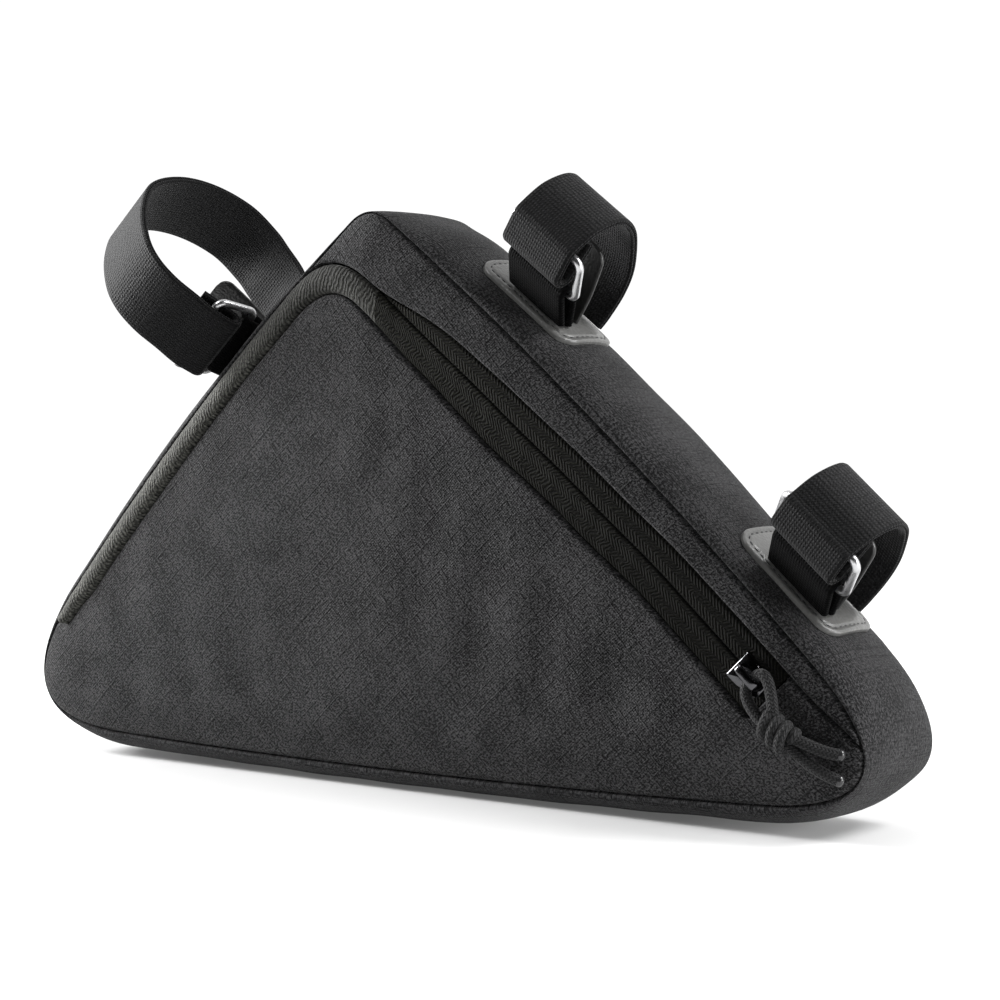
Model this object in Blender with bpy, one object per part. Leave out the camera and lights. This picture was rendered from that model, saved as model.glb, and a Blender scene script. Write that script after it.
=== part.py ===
"""Triangular bicycle frame bag: a cloth shell with a zip, three strap loops and a corded pull.

Metres, +Z up. The bag stands on its bottom edge at z = 0, X runs along that edge from the tail
(-X) to the nose (+X), and the zipped front faces -Y. The origin is the middle of the flat on
which it rests.

Every sewn edge is worked out from one outline, a triangle with bowed sides and rounded corners.
Its sides run clockwise as seen from the front: bottom (nose to tail), rear (tail to apex) and
upper (apex to nose).
"""
import math

import bmesh
import bpy
import numpy as np
from mathutils import Matrix, Vector
from mathutils.geometry import delaunay_2d_cdt

MM = 0.001

# Outline of the seam, corner to corner before rounding
BASE_LENGTH = 0.3706
HEIGHT = 0.1762
APEX_X = -0.0126
SEAM_Z = 0.0110
BOTTOM_BOW = 0.0045
REAR_BOW = 0.0070
UPPER_BOW = 0.0056
NOSE_ROUNDING = 0.056
TAIL_ROUNDING = 0.060
APEX_ROUNDING = 0.010

# Depth of the bag between its two seams, and how far its cloth bulges
DEPTH = 0.044
BOTTOM_CROWN = 0.0075
REAR_CROWN = 0.0075
UPPER_CROWN = 0.0085
CORNER_CROWN = 0.0012
FRONT_DOME = 0.0045
BACK_DOME = 0.0060
DOME_REACH = 0.016

# Cloth, tape and the gap that neighbours keep
WALL = 0.0022
TAPE_WALL = 0.0012
TAPE_RECESS = 0.0009
ROLL_RISE = 0.0022
GAP = 0.0003
SEAM_GAP = 0.00045

# Zip on the front face, measured in from the seam
ROLL_WIDTH = 0.0078
SLIT_INSET = 0.0188
TAPE_HALF_LOWER = 0.0090
TAPE_HALF_UPPER = 0.0090

# Slider and its cord
SLIDER_SHARE = 0.758
SLIDER_LENGTH = 0.0115
SLIDER_WIDTH = 0.0095
SLIDER_PLATE = 0.0021
SLIDER_BEVEL = 0.0004
BRIDGE_LENGTH = 0.0094
BRIDGE_WIDTH = 0.0026
BRIDGE_BAR = 0.0012
CORD_DIAMETER = 0.0034
CORD_ROOM = 0.0004
KNOT_LENGTH = 0.0150
KNOT_WIDTH = 0.0088
KNOT_THICK = 0.0080

# Straps
WEBBING_WIDTH = 0.025
WEBBING_THICK = 0.0024
UPPER_LOOP_WIDTH = 0.0414
UPPER_LOOP_HEIGHT = 0.0413
UPPER_LOOP_LEAN = -0.0093
LOWER_LOOP_HEIGHT = 0.0385
REAR_LOOP_WIDTH = 0.0730
REAR_LOOP_HEIGHT = 0.0745
REAR_LOOP_LEAN = -0.0012
UPPER_STRAP_SHARE = 0.237
LOWER_STRAP_SHARE = 0.700
REAR_STRAP_SHARE = 0.681
WEBBING_SHIFT = 0.0028
REAR_LOCK_TURN = math.radians(40)
REAR_LOCK_SHIFT = (0.0100, 0.0067)

# Ring that locks each strap: places are (across, up) from the crest of the gusset
RING_WIRE = 0.0026
RING_INSIDE = 0.0268
RING_LOWER_BAR = (-0.0175, 0.0132)
RING_UPPER_BAR = (-0.0258, 0.0256)
RING_SIDES = 6
TURN_CENTRE = (-0.0253, 0.0193)
BASE_FOOT_ACROSS = -0.0090
TAIL_TOP = (-0.0222, 0.0312)

# Patch under each strap and the pad that stands up from it
PATCH_LENGTH = 0.042
PATCH_WIDTH = 0.028
PATCH_CORNER = 0.006
PATCH_THICK = 0.0012
PATCH_SEAT = 0.0004
PAD_WIDTH = 0.021
PAD_THICK = 0.0014
PAD_FOOT_ACROSS = -0.0010
PAD_TOP = (-0.0080, 0.0270)
PAD_CORNER = 0.0045

# How finely the cloth is divided
SIDE_STATIONS = {"bottom": 14, "rear": 14, "upper": 16}
CORNER_STATIONS = {"nose": 8, "tail": 7, "apex": 5}
GUSSET_COLUMNS = 9
PANEL_PITCH = 0.020
PANEL_RING_INSETS = (0.006, 0.014)
RIM_POINTS_PER_RING_POINT = 2

# Places of the corners, and the sides between them
NOSE = np.array([BASE_LENGTH / 2, SEAM_Z])
TAIL = np.array([-BASE_LENGTH / 2, SEAM_Z])
APEX = np.array([APEX_X, SEAM_Z + HEIGHT])
SIDES = {
    "bottom": (NOSE, TAIL, BOTTOM_BOW, BOTTOM_CROWN),
    "rear": (TAIL, APEX, REAR_BOW, REAR_CROWN),
    "upper": (APEX, NOSE, UPPER_BOW, UPPER_CROWN),
}
ORDER = ("bottom", "rear", "upper")
CORNERS = {"nose": NOSE_ROUNDING, "tail": TAIL_ROUNDING, "apex": APEX_ROUNDING}
CORNER_AT_START = {"bottom": "nose", "rear": "tail", "upper": "apex"}

# Share of a side's full crown, by share along the side
CROWN_ROWS = {
    "bottom": (
        # along, crown
        (0.000, 0.00),
        (0.155, 1.00),
        (0.850, 1.00),
        (1.000, 0.00),
    ),
    "rear": (
        # along, crown
        (0.00, 0.00),
        (0.25, 0.85),
        (0.50, 1.00),
        (0.75, 0.85),
        (1.00, 0.00),
    ),
    "upper": (
        # along, crown
        (0.00, 0.00),
        (0.12, 0.85),
        (0.30, 0.97),
        (0.45, 0.95),
        (0.67, 0.62),
        (0.80, 0.75),
        (1.00, 0.00),
    ),
}

# Edge of the roll down the rear side, by share along that side
ROLL_ROWS = (
    # along, share of ROLL_WIDTH
    (0.195, 0.62),
    (0.225, 0.80),
    (0.280, 1.00),
    (0.500, 1.05),
    (0.700, 1.00),
    (0.790, 1.05),
)
# Inset of the slit from the upper side, by share along that side
SLIT_ROWS = (
    # along, share of SLIT_INSET
    (0.075, 1.00),
    (0.180, 1.02),
    (0.320, 1.00),
    (0.470, 0.94),
    (0.620, 0.86),
    (0.785, 0.82),
)
# How far the flap's edge lies past the slit
FLAP_ROWS = (
    # along, share of TAPE_HALF_LOWER
    (0.078, 0.92),
    (0.180, 1.05),
    (0.320, 1.18),
    (0.470, 1.08),
    (0.620, 1.00),
    (0.785, 0.98),
)
# How far the band's edge stops short of the slit
BAND_ROWS = (
    # along, share of TAPE_HALF_UPPER
    (0.100, 0.20),
    (0.140, 0.50),
    (0.190, 0.66),
    (0.320, 0.80),
    (0.470, 0.86),
    (0.620, 0.90),
    (0.785, 0.91),
)
# Inset of the band's edge past the end of the tape, by share along the upper side
BAND_NOSE_ROWS = (
    # along, inset in mm
    (0.785, 7.2),
    (0.872, 6.0),
)
# From the roll to the flat tape, by share of the lower half's length
ROLL_TO_FLAT_ROWS = (
    # along, flatness
    (0.42, 0.0),
    (0.60, 1.0),
)

# Where the lines of the zip leave one side and join the next, as shares along them
ROLL_START = 0.195
FLAP_LEAVES_REAR = 0.815
SLIT_LEAVES_REAR = 0.835
FLAP_JOINS_UPPER = 0.078
SLIT_JOINS_UPPER = 0.075
UPPER_TAPE_START = 0.100
TAPE_END = 0.785
BAND_PINCH = 0.872
BAND_END_ROOM = 0.002
BAND_LEAST = 0.0048
BEND_FULLNESS = 0.45
BEND_STATIONS = 9
TAPE_STATIONS = 44

# Centreline of a strap loop from its back foot to the ring, as shares of the loop's size
UPPER_LOOP_ROWS = (
    # across, up
    (0.455, 0.010),
    (0.474, 0.150),
    (0.468, 0.366),
    (0.394, 0.577),
    (0.208, 0.811),
    (0.060, 0.925),
    (-0.123, 0.968),
    (-0.331, 0.870),
    (-0.452, 0.700),
)
REAR_LOOP_ROWS = (
    # across, up
    (0.140, 0.006),
    (0.270, 0.090),
    (0.414, 0.247),
    (0.476, 0.416),
    (0.483, 0.560),
    (0.483, 0.675),
    (0.428, 0.834),
    (0.263, 0.950),
    (0.054, 0.984),
    (-0.183, 0.922),
    (-0.363, 0.757),
    (-0.480, 0.571),
    (-0.515, 0.430),
    (-0.490, 0.300),
    (-0.425, 0.190),
)

# Route of the cord pull over the front face, in mm from the middle of the slider's underside
LEG_LOWER_ROUTE = (
    # x, y, z
    (-1.2, -4.4, -1.6),
    (-1.0, -4.8, -3.1),
    (-0.1, -5.1, -4.7),
    (2.5, -5.3, -7.1),
    (5.2, -5.3, -9.8),
)
LEG_UPPER_ROUTE = (
    # x, y, z
    (0.8, -4.4, 2.8),
    (2.2, -4.7, 3.5),
    (5.2, -5.0, 2.7),
    (7.9, -5.2, 0.4),
    (9.8, -5.3, -2.6),
    (10.5, -5.3, -6.1),
    (10.0, -5.3, -9.7),
)
TAIL_UPPER_ROUTE = (
    # x, y, z
    (17.7, -4.6, -16.0),
    (20.9, -4.0, -16.6),
    (24.0, -3.2, -17.5),
    (27.0, -2.4, -18.5),
    (29.3, -1.6, -19.4),
)
TAIL_LOWER_ROUTE = (
    # x, y, z
    (16.5, -4.5, -19.3),
    (19.0, -3.9, -20.6),
    (21.7, -3.2, -22.1),
    (25.3, -2.4, -24.5),
    (28.8, -1.6, -26.6),
)
KNOT_PLACE = (10.0, -5.2, -14.8)
KNOT_TURN = math.radians(-12)


def blend_rows(x, rows):
    """Smooth steps from row to row: each row is a place and its value."""
    places = np.array([row[0] for row in rows])
    values = np.array([row[1] for row in rows])
    x = np.clip(x, places[0], places[-1])
    i = np.clip(np.searchsorted(places, x, side="right") - 1, 0, len(places) - 2)
    t = (x - places[i]) / (places[i + 1] - places[i])
    return values[i] + (values[i + 1] - values[i]) * t * t * (3 - 2 * t)


def smooth_through(points, steps):
    """A Catmull-Rom curve through the points, with so many steps from each to the next."""
    p = np.asarray(points, float)
    p = np.vstack([2 * p[0] - p[1], p, 2 * p[-1] - p[-2]])
    t = np.linspace(0, 1, steps, endpoint=False)[:, None]
    runs = []
    for a, b, c, d in zip(p[:-3], p[1:-2], p[2:-1], p[3:]):
        runs.append(0.5 * (2 * b + (c - a) * t + (2 * a - 5 * b + 4 * c - d) * t ** 2
                           + (3 * b - a - 3 * c + d) * t ** 3))
    return np.vstack(runs + [p[-2:-1]])


def resampled(points, count):
    """The same line with evenly spaced points."""
    points = np.asarray(points, float)
    steps = np.linalg.norm(np.diff(points, axis=0), axis=1)
    run = np.concatenate([[0], np.cumsum(steps)])
    at = np.linspace(0, run[-1], count)
    return np.stack([np.interp(at, run, points[:, k]) for k in range(points.shape[1])], axis=-1)


def side_length(side):
    start, end, _, _ = SIDES[side]
    return float(np.linalg.norm(end - start))


def side_frame(side, along):
    """Point, run direction and outward direction on a bowed side, at a share along it."""
    start, end, bow, _ = SIDES[side]
    along = np.asarray(along, float)[..., None]
    run = end - start
    length = np.linalg.norm(run)
    run = run / length
    out = np.array([-run[1], run[0]])
    point = start + run * length * along + out * 4 * bow * along * (1 - along)
    tangent = run * length + out * 4 * bow * (1 - 2 * along)
    tangent = tangent / np.linalg.norm(tangent, axis=-1, keepdims=True)
    normal = np.stack([-tangent[..., 1], tangent[..., 0]], axis=-1)
    return point, tangent, normal


def crown_at(side, along):
    """How far the gusset bulges past the seam at a share along a side."""
    return CORNER_CROWN + (SIDES[side][3] - CORNER_CROWN) * blend_rows(along, CROWN_ROWS[side])


def corner_arc(corner, count):
    """The rounded corner between two sides, and the share of the crown along it."""
    after = next(s for s in ORDER if CORNER_AT_START[s] == corner)
    before = ORDER[ORDER.index(after) - 1]
    back = CORNERS[corner] / side_length(before)
    ahead = CORNERS[corner] / side_length(after)
    p, tp, _ = side_frame(before, 1 - back)
    q, tq, _ = side_frame(after, ahead)
    cross = tp[0] * tq[1] - tp[1] * tq[0]
    reach = ((q - p)[0] * tq[1] - (q - p)[1] * tq[0]) / cross
    knee = p + tp * reach
    t = np.linspace(0, 1, count + 2)[1:-1]
    arc = ((1 - t) ** 2)[:, None] * p + (2 * t * (1 - t))[:, None] * knee + (t ** 2)[:, None] * q
    crown = np.where(
        t < 0.5,
        crown_at(before, 1 - back * (1 - 2 * np.minimum(t, 0.5))),
        crown_at(after, ahead * (2 * np.maximum(t, 0.5) - 1)),
    )
    return arc, crown


def seam_outline():
    """Stations round the seam, clockwise from the nose: points, outward normals and crowns."""
    points = []
    crowns = []
    for i, side in enumerate(ORDER):
        corner = CORNER_AT_START[side]
        arc, crown = corner_arc(corner, CORNER_STATIONS[corner])
        points.append(arc)
        crowns.append(crown)
        next_corner = CORNER_AT_START[ORDER[(i + 1) % 3]]
        first = CORNERS[corner] / side_length(side)
        last = 1 - CORNERS[next_corner] / side_length(side)
        along = np.linspace(first, last, SIDE_STATIONS[side])
        points.append(side_frame(side, along)[0])
        crowns.append(crown_at(side, along))
    points = np.vstack(points)
    crowns = np.concatenate(crowns)
    tangent = np.roll(points, -1, axis=0) - np.roll(points, 1, axis=0)
    tangent /= np.linalg.norm(tangent, axis=1, keepdims=True)
    normals = np.stack([-tangent[:, 1], tangent[:, 0]], axis=-1)
    return points, normals, crowns


def distance_to(xz, loop):
    """Distance from points to the nearest stretch of a closed line."""
    start, run = loop, np.roll(loop, -1, axis=0) - loop
    offset = np.asarray(xz)[..., None, :] - start
    share = np.clip((offset * run).sum(-1) / (run ** 2).sum(-1), 0, 1)
    return np.sqrt(((offset - share[..., None] * run) ** 2).sum(-1)).min(-1)


def seam_distance(xz):
    """How far points of the face lie inside the seam."""
    return distance_to(xz, SEAM[0])


def face_depth(xz, dome):
    """Distance of a domed face from the middle plane: flat at the seam, fullest well inside."""
    return DEPTH / 2 + dome * (1 - np.exp(-seam_distance(xz) / DOME_REACH))


def on_front(xz, lift):
    """Places on the front face, lifted off the cloth's outer surface by lift."""
    xz = np.asarray(xz)
    return np.stack([xz[..., 0], -(face_depth(xz, FRONT_DOME) + lift), xz[..., 1]], axis=-1)


def on_back(xz, lift):
    xz = np.asarray(xz)
    return np.stack([xz[..., 0], face_depth(xz, BACK_DOME) + lift, xz[..., 1]], axis=-1)


def gusset_top(side, along, across, lift):
    """Places on the crowned gusset: across runs over its depth, lift is outward."""
    point, _, normal = side_frame(side, along)
    rise = crown_at(side, along) * np.sqrt(np.maximum(0, 1 - (2 * across / DEPTH) ** 2)) + lift
    spot = point + normal * rise[..., None]
    return np.stack([spot[..., 0], across + 0 * rise, spot[..., 1]], axis=-1)


def material(name, colour, roughness, metallic=0.0):
    made = bpy.data.materials.new(name)
    made.use_nodes = True
    made.diffuse_color = (*colour, 1)
    shader = made.node_tree.nodes["Principled BSDF"]
    shader.inputs["Base Color"].default_value = (*colour, 1)
    shader.inputs["Roughness"].default_value = roughness
    shader.inputs["Metallic"].default_value = metallic
    return made


def make_object(name, vertices, faces, finish, crease=60):
    """One closed solid: merged, its faces turned out, shaded smooth past small angles."""
    mesh = bpy.data.meshes.new(name)
    mesh.from_pydata([tuple(map(float, v)) for v in vertices], [], [tuple(map(int, f)) for f in faces])
    bm = bmesh.new()
    bm.from_mesh(mesh)
    bmesh.ops.recalc_face_normals(bm, faces=bm.faces)
    bm.to_mesh(mesh)
    bm.free()
    mesh.shade_smooth()
    mesh.set_sharp_from_angle(angle=math.radians(crease))
    mesh.materials.append(finish)
    made = bpy.data.objects.new(name, mesh)
    bpy.context.collection.objects.link(made)
    return made


def quads(index, closed):
    """Quads over a grid of vertex numbers, closed or not along its rows."""
    ahead = np.roll(index, -1, axis=0) if closed else index[1:]
    here = index if closed else index[:-1]
    return np.stack([here[:, :-1], here[:, 1:], ahead[:, 1:], ahead[:, :-1]], axis=-1).reshape(-1, 4)


def slab(name, outer, inner, finish, closed=False):
    """A cloth wall between two grids of places: rows run along it, columns across it."""
    rows, columns, _ = outer.shape
    count = rows * columns
    top = np.arange(count).reshape(rows, columns)
    under = top + count
    faces = [quads(top, closed), quads(under, closed)[:, ::-1]]
    for column in (0, columns - 1):
        faces.append(quads(np.stack([under[:, column], top[:, column]], axis=-1), closed))
    if not closed:
        for row in (0, rows - 1):
            faces.append(quads(np.stack([under[row], top[row]], axis=-1), False))
    vertices = np.vstack([outer.reshape(-1, 3), inner.reshape(-1, 3)])
    return make_object(name, vertices, np.vstack(faces), finish)


def closed_tube(name, path, radius, sides, side_axis, finish):
    """A wire bent into a closed loop: side_axis is square to the plane of the loop."""
    path = np.asarray(path)
    tangent = np.roll(path, -1, axis=0) - np.roll(path, 1, axis=0)
    tangent /= np.linalg.norm(tangent, axis=1, keepdims=True)
    outward = np.cross(tangent, side_axis)
    angle = np.linspace(0, 2 * math.pi, sides, endpoint=False)
    section = (np.cos(angle)[None, :, None] * outward[:, None, :]
               + np.sin(angle)[None, :, None] * np.asarray(side_axis)[None, None, :])
    grid = path[:, None, :] + radius * section
    rows, columns, _ = grid.shape
    index = np.arange(rows * columns).reshape(rows, columns)
    index = np.hstack([index, index[:, :1]])
    return make_object(name, grid.reshape(-1, 3), quads(index, True), finish)


def cord_piece(name, points, finish):
    """A stretch of the round cord along its route."""
    curve = bpy.data.curves.new(name, "CURVE")
    curve.dimensions = "3D"
    curve.bevel_depth = CORD_DIAMETER / 2
    curve.bevel_resolution = 2
    curve.use_fill_caps = True
    route = smooth_through(points, 2)
    spline = curve.splines.new("POLY")
    spline.points.add(len(route) - 1)
    for point, place in zip(spline.points, route):
        point.co = (*place, 1)
    curve.materials.append(finish)
    made = bpy.data.objects.new(name, curve)
    bpy.context.collection.objects.link(made)
    return made


def gusset(cloth):
    """The crowned band: half an ellipse across, mitred to the faces, flattened on the floor."""
    points, normals, crowns = SEAM
    angle = np.linspace(-math.pi / 2, math.pi / 2, GUSSET_COLUMNS)
    rise = crowns[:, None] * np.cos(angle)
    walls = []
    for reach, inset, floor in ((DEPTH / 2, 0.0, 0.0), (DEPTH / 2 - WALL, WALL, WALL)):
        spot = points[:, None, :] + normals[:, None, :] * (rise - inset)[..., None]
        y = np.broadcast_to(reach * np.sin(angle), rise.shape)
        walls.append(np.stack([spot[..., 0], y, np.maximum(spot[..., 1], floor)], axis=-1))
    slab("gusset", walls[0], walls[1], cloth, closed=True)


def inset_loop(points, amount):
    """A closed line moved inward by an amount, square to each of its sides."""
    before = points - np.roll(points, 1, axis=0)
    after = np.roll(points, -1, axis=0) - points
    before = before / np.linalg.norm(before, axis=1, keepdims=True)
    after = after / np.linalg.norm(after, axis=1, keepdims=True)
    bisector = before + after
    bisector = bisector / np.linalg.norm(bisector, axis=1, keepdims=True)
    inward = np.stack([bisector[:, 1], -bisector[:, 0]], axis=-1)
    spread = np.maximum(0.6, (bisector * after).sum(axis=1, keepdims=True))
    return points + inward * amount / spread


def panel(name, rim, place, cloth):
    """A domed cloth panel inside a closed rim, divided by rings near the rim and a lattice."""
    outer_rim = inset_loop(rim, SEAM_GAP)
    inner_rim = inset_loop(rim, SEAM_GAP + WALL)
    spots = []
    for ring_inset in PANEL_RING_INSETS:
        even = resampled(np.vstack([rim, rim[:1]]), len(rim) // RIM_POINTS_PER_RING_POINT)[:-1]
        ring = inset_loop(even, ring_inset)
        spots.append(ring[distance_to(ring, rim) > 0.93 * ring_inset])
    low, high = rim.min(axis=0), rim.max(axis=0)
    xs = np.arange(low[0], high[0], PANEL_PITCH)
    zs = np.arange(low[1], high[1], PANEL_PITCH * math.sin(math.pi / 3))
    lattice = np.array([(x + PANEL_PITCH / 2 * (row % 2), z) for row, z in enumerate(zs) for x in xs])
    inside = winding(lattice, rim) & (distance_to(lattice, rim) > PANEL_RING_INSETS[-1] + PANEL_PITCH / 2)
    spots = np.vstack(spots + [lattice[inside]])
    spots = spots[winding(spots, rim)]
    flat = [Vector(p) for p in np.vstack([outer_rim, spots])]
    count = len(outer_rim)
    edges = [(i, (i + 1) % count) for i in range(count)]
    corners, _, faces, _, _, _ = delaunay_2d_cdt(flat, edges, [], 1, 1e-7)
    outer = np.array([tuple(corner) for corner in corners])
    inner = outer.copy()
    inner[:count] = inner_rim
    total = len(outer)
    triangles = [tuple(f) for f in faces] + [tuple(i + total for i in reversed(f)) for f in faces]
    rim_faces = [(i, (i + 1) % count, (i + 1) % count + total, i + total) for i in range(count)]
    vertices = np.vstack([place(outer, 0.0), place(inner, -WALL)])
    return make_object(name, vertices, triangles + rim_faces, cloth)


def winding(points, loop):
    """Which points lie inside a closed line, by counting crossings to the right."""
    a, b = loop, np.roll(loop, -1, axis=0)
    x, z = points[:, 0, None], points[:, 1, None]
    straddles = (a[:, 1] > z) != (b[:, 1] > z)
    rise = np.where(b[:, 1] == a[:, 1], 1.0, b[:, 1] - a[:, 1])
    crossing = a[:, 0] + (z - a[:, 1]) / rise * (b[:, 0] - a[:, 0])
    return (straddles & (crossing > x)).sum(axis=1) % 2 == 1


def seam_stretch(start, end):
    """The seam's own corners from one place on it to another, going clockwise."""
    seam = SEAM[0]
    loop = np.vstack([seam, seam[:1]])
    run = np.concatenate([[0], np.cumsum(np.linalg.norm(np.diff(loop, axis=0), axis=1))])
    total = run[-1]
    places = []
    for spot in (start, end):
        a, b = loop[:-1], loop[1:]
        t = np.clip(((spot - a) * (b - a)).sum(1) / ((b - a) ** 2).sum(1), 0, 1)
        near = a + (b - a) * t[:, None]
        i = int(np.linalg.norm(near - spot, axis=1).argmin())
        places.append(run[i] + t[i] * (run[i + 1] - run[i]))
    first, last = places
    if last <= first:
        last += total
    margin = 0.001
    stations = np.concatenate([run[:-1], run[:-1] + total])
    at = [first] + [s for s in stations if first + margin < s < last - margin] + [last]
    at = np.mod(np.array(at), total)
    return np.stack([np.interp(at, run, loop[:, 0]), np.interp(at, run, loop[:, 1])], axis=-1)


def inset_line(side, first, last, inset_of, count):
    """A line that keeps an inset from a side, between two shares along it."""
    along = np.linspace(first, last, count)
    point, _, normal = side_frame(side, along)
    return point - normal * inset_of(along)[:, None]


def roll_inset(along):
    return ROLL_WIDTH * blend_rows(along, ROLL_ROWS)


def slit_inset(along):
    return SLIT_INSET * blend_rows(along, SLIT_ROWS)


def flap_inset(along):
    return slit_inset(along) + TAPE_HALF_LOWER * blend_rows(along, FLAP_ROWS)


def band_inset(along):
    return slit_inset(along) - TAPE_HALF_UPPER * blend_rows(along, BAND_ROWS)


def nose_inset(along):
    return MM * blend_rows(along, BAND_NOSE_ROWS)


def bend(before, after, fullness):
    """A smooth turn from the end of one line to the start of the next."""
    p, q = before[-1], after[0]
    tp = (before[-1] - before[-2]) / np.linalg.norm(before[-1] - before[-2])
    tq = (after[1] - after[0]) / np.linalg.norm(after[1] - after[0])
    reach = np.linalg.norm(q - p) * fullness
    t = np.linspace(0, 1, BEND_STATIONS)[1:-1, None]
    a, b = p + tp * reach, q - tq * reach
    return (1 - t) ** 3 * p + 3 * t * (1 - t) ** 2 * a + 3 * t * t * (1 - t) * b + t ** 3 * q


def inward(line):
    """Unit directions to the right of a line, which is the inside for a clockwise one."""
    tangent = np.gradient(line, axis=0)
    tangent /= np.linalg.norm(tangent, axis=1, keepdims=True)
    return np.stack([tangent[:, 1], -tangent[:, 0]], axis=-1)


def between(a, b, shares, mitre=False):
    """A grid from line a to line b, drawn in by the gap at both and, if mitred, by the wall at the seam."""
    room = np.maximum(0, WALL - seam_distance(a))[:, None] if mitre else 0.0
    start, end = a + inward(a) * (SEAM_GAP + room), b - inward(b) * SEAM_GAP
    return start[:, None, :] + (end - start)[:, None, :] * np.array(shares)[None, :, None]


def front(cloth, tape):
    """The zipped face: flap, band and the two halves of the tape."""
    roll_start, slit_leaves, flap_leaves = side_frame("rear", (ROLL_START, SLIT_LEAVES_REAR, FLAP_LEAVES_REAR))[0]
    flap_rear = seam_stretch(roll_start, flap_leaves)
    along = np.linspace(ROLL_START, FLAP_LEAVES_REAR, len(flap_rear))
    flap_rear = flap_rear + inward(flap_rear) * roll_inset(along)[:, None]
    flap_upper = inset_line("upper", FLAP_JOINS_UPPER, TAPE_END, flap_inset, 18)
    flap_edge = np.vstack([flap_rear, bend(flap_rear, flap_upper, BEND_FULLNESS), flap_upper])

    slit_rear = seam_stretch(roll_start, slit_leaves)
    slit_upper = inset_line("upper", SLIT_JOINS_UPPER, TAPE_END, slit_inset, 18)
    slit_bend = bend(slit_rear, slit_upper, BEND_FULLNESS)
    slit_edge = np.vstack([slit_rear, slit_bend, slit_upper])

    band_upper = inset_line("upper", UPPER_TAPE_START, TAPE_END, band_inset, 18)
    flap_nose = inset_line("upper", TAPE_END, BAND_PINCH, nose_inset, 6)
    band_nose = inset_line("upper", TAPE_END, BAND_PINCH - BAND_END_ROOM, nose_inset, 6)
    band_edge = np.vstack([band_upper, band_nose[1:]])

    # Lower half of the tape: flat under the slider, a raised roll down the rear edge
    shares = np.array((0.0, 0.15, 0.5, 0.85, 1.0))
    xz = between(resampled(slit_edge, TAPE_STATIONS), resampled(flap_edge, TAPE_STATIONS), shares)
    flatness = blend_rows(np.linspace(0, 1, TAPE_STATIONS), ROLL_TO_FLAT_ROWS)
    hump = np.sin(np.pi * shares) ** 0.6
    lift = (1 - flatness)[:, None] * ROLL_RISE * hump - flatness[:, None] * TAPE_RECESS
    under = between(resampled(slit_edge, TAPE_STATIONS), resampled(flap_edge, TAPE_STATIONS), shares, mitre=True)
    slab("zip_tape_lower", on_front(xz, lift), on_front(under, -TAPE_RECESS - TAPE_WALL), tape)

    # Upper half: from where it comes out from under the band to the end of the tape
    along = np.linspace(UPPER_TAPE_START, TAPE_END, 24)
    point, _, normal = side_frame("upper", along)
    band_side = point - normal * band_inset(along)[:, None]
    slit_side = point - normal * slit_inset(along)[:, None]
    xz = between(band_side, slit_side, (0.0, 0.5, 1.0))
    slab("zip_tape_upper", on_front(xz, -TAPE_RECESS), on_front(xz, -TAPE_RECESS - TAPE_WALL), tape)

    # Band: from the bend of the zip round the apex to the pinch at the nose
    tape_start = band_upper[0]
    slit_run = np.vstack([slit_rear[-1:], slit_bend, slit_upper])
    keep = slit_run[:, 0] < tape_start[0] - 0.002
    inner_a = np.vstack([slit_run[keep], tape_start])
    turn_mark, _, _ = side_frame("upper", UPPER_TAPE_START)
    outer_a = seam_stretch(slit_rear[-1], turn_mark)
    outer_b = seam_stretch(turn_mark, band_edge[-1])
    inner_a = at_same_shares(inner_a, outer_a)
    inner_b = at_same_shares(band_edge, outer_b)
    outer = np.vstack([outer_a, outer_b[1:]])
    inner = np.vstack([inner_a, inner_b[1:]])
    wide = np.linalg.norm(outer - inner, axis=1) > BAND_LEAST
    outer, inner = outer[wide], inner[wide]
    shares = (0.0, 0.35, 0.7, 1.0)
    slab("front_band", on_front(between(outer, inner, shares), 0.0),
         on_front(between(outer, inner, shares, mitre=True), -WALL), cloth)

    # Flap: everything under the zip, and the cloth past its end
    nose_and_on = seam_stretch(flap_nose[-1], slit_rear[0])
    rim = np.vstack([flap_edge, flap_nose, nose_and_on])
    panel("front_flap", rim, on_front, cloth)


def at_same_shares(line, like):
    """The line with points at the same shares of its length as another line's."""
    runs = []
    for points in (line, like):
        steps = np.linalg.norm(np.diff(points, axis=0), axis=1)
        run = np.concatenate([[0], np.cumsum(steps)])
        runs.append(run / run[-1])
    return np.stack([np.interp(runs[1], runs[0], line[:, k]) for k in range(2)], axis=-1)


def slider_seat():
    """The middle of the slider's underside, and its directions along, across and out from the tape."""
    point, _, normal = side_frame("upper", np.array([SLIDER_SHARE - 0.01, SLIDER_SHARE + 0.01]))
    ends = on_front(point - normal * slit_inset(np.array([SLIDER_SHARE] * 2))[:, None], -TAPE_RECESS)
    sides = on_front(ends.mean(axis=0)[[0, 2]] + np.outer((-0.5, 0.5), normal[0]) * SLIDER_WIDTH, -TAPE_RECESS)
    run = (ends[1] - ends[0]) / np.linalg.norm(ends[1] - ends[0])
    up = np.cross(run, sides[1] - sides[0])
    up /= np.linalg.norm(up)
    return sides.mean(axis=0) + up * 2 * GAP, run, np.cross(up, run), up


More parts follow.
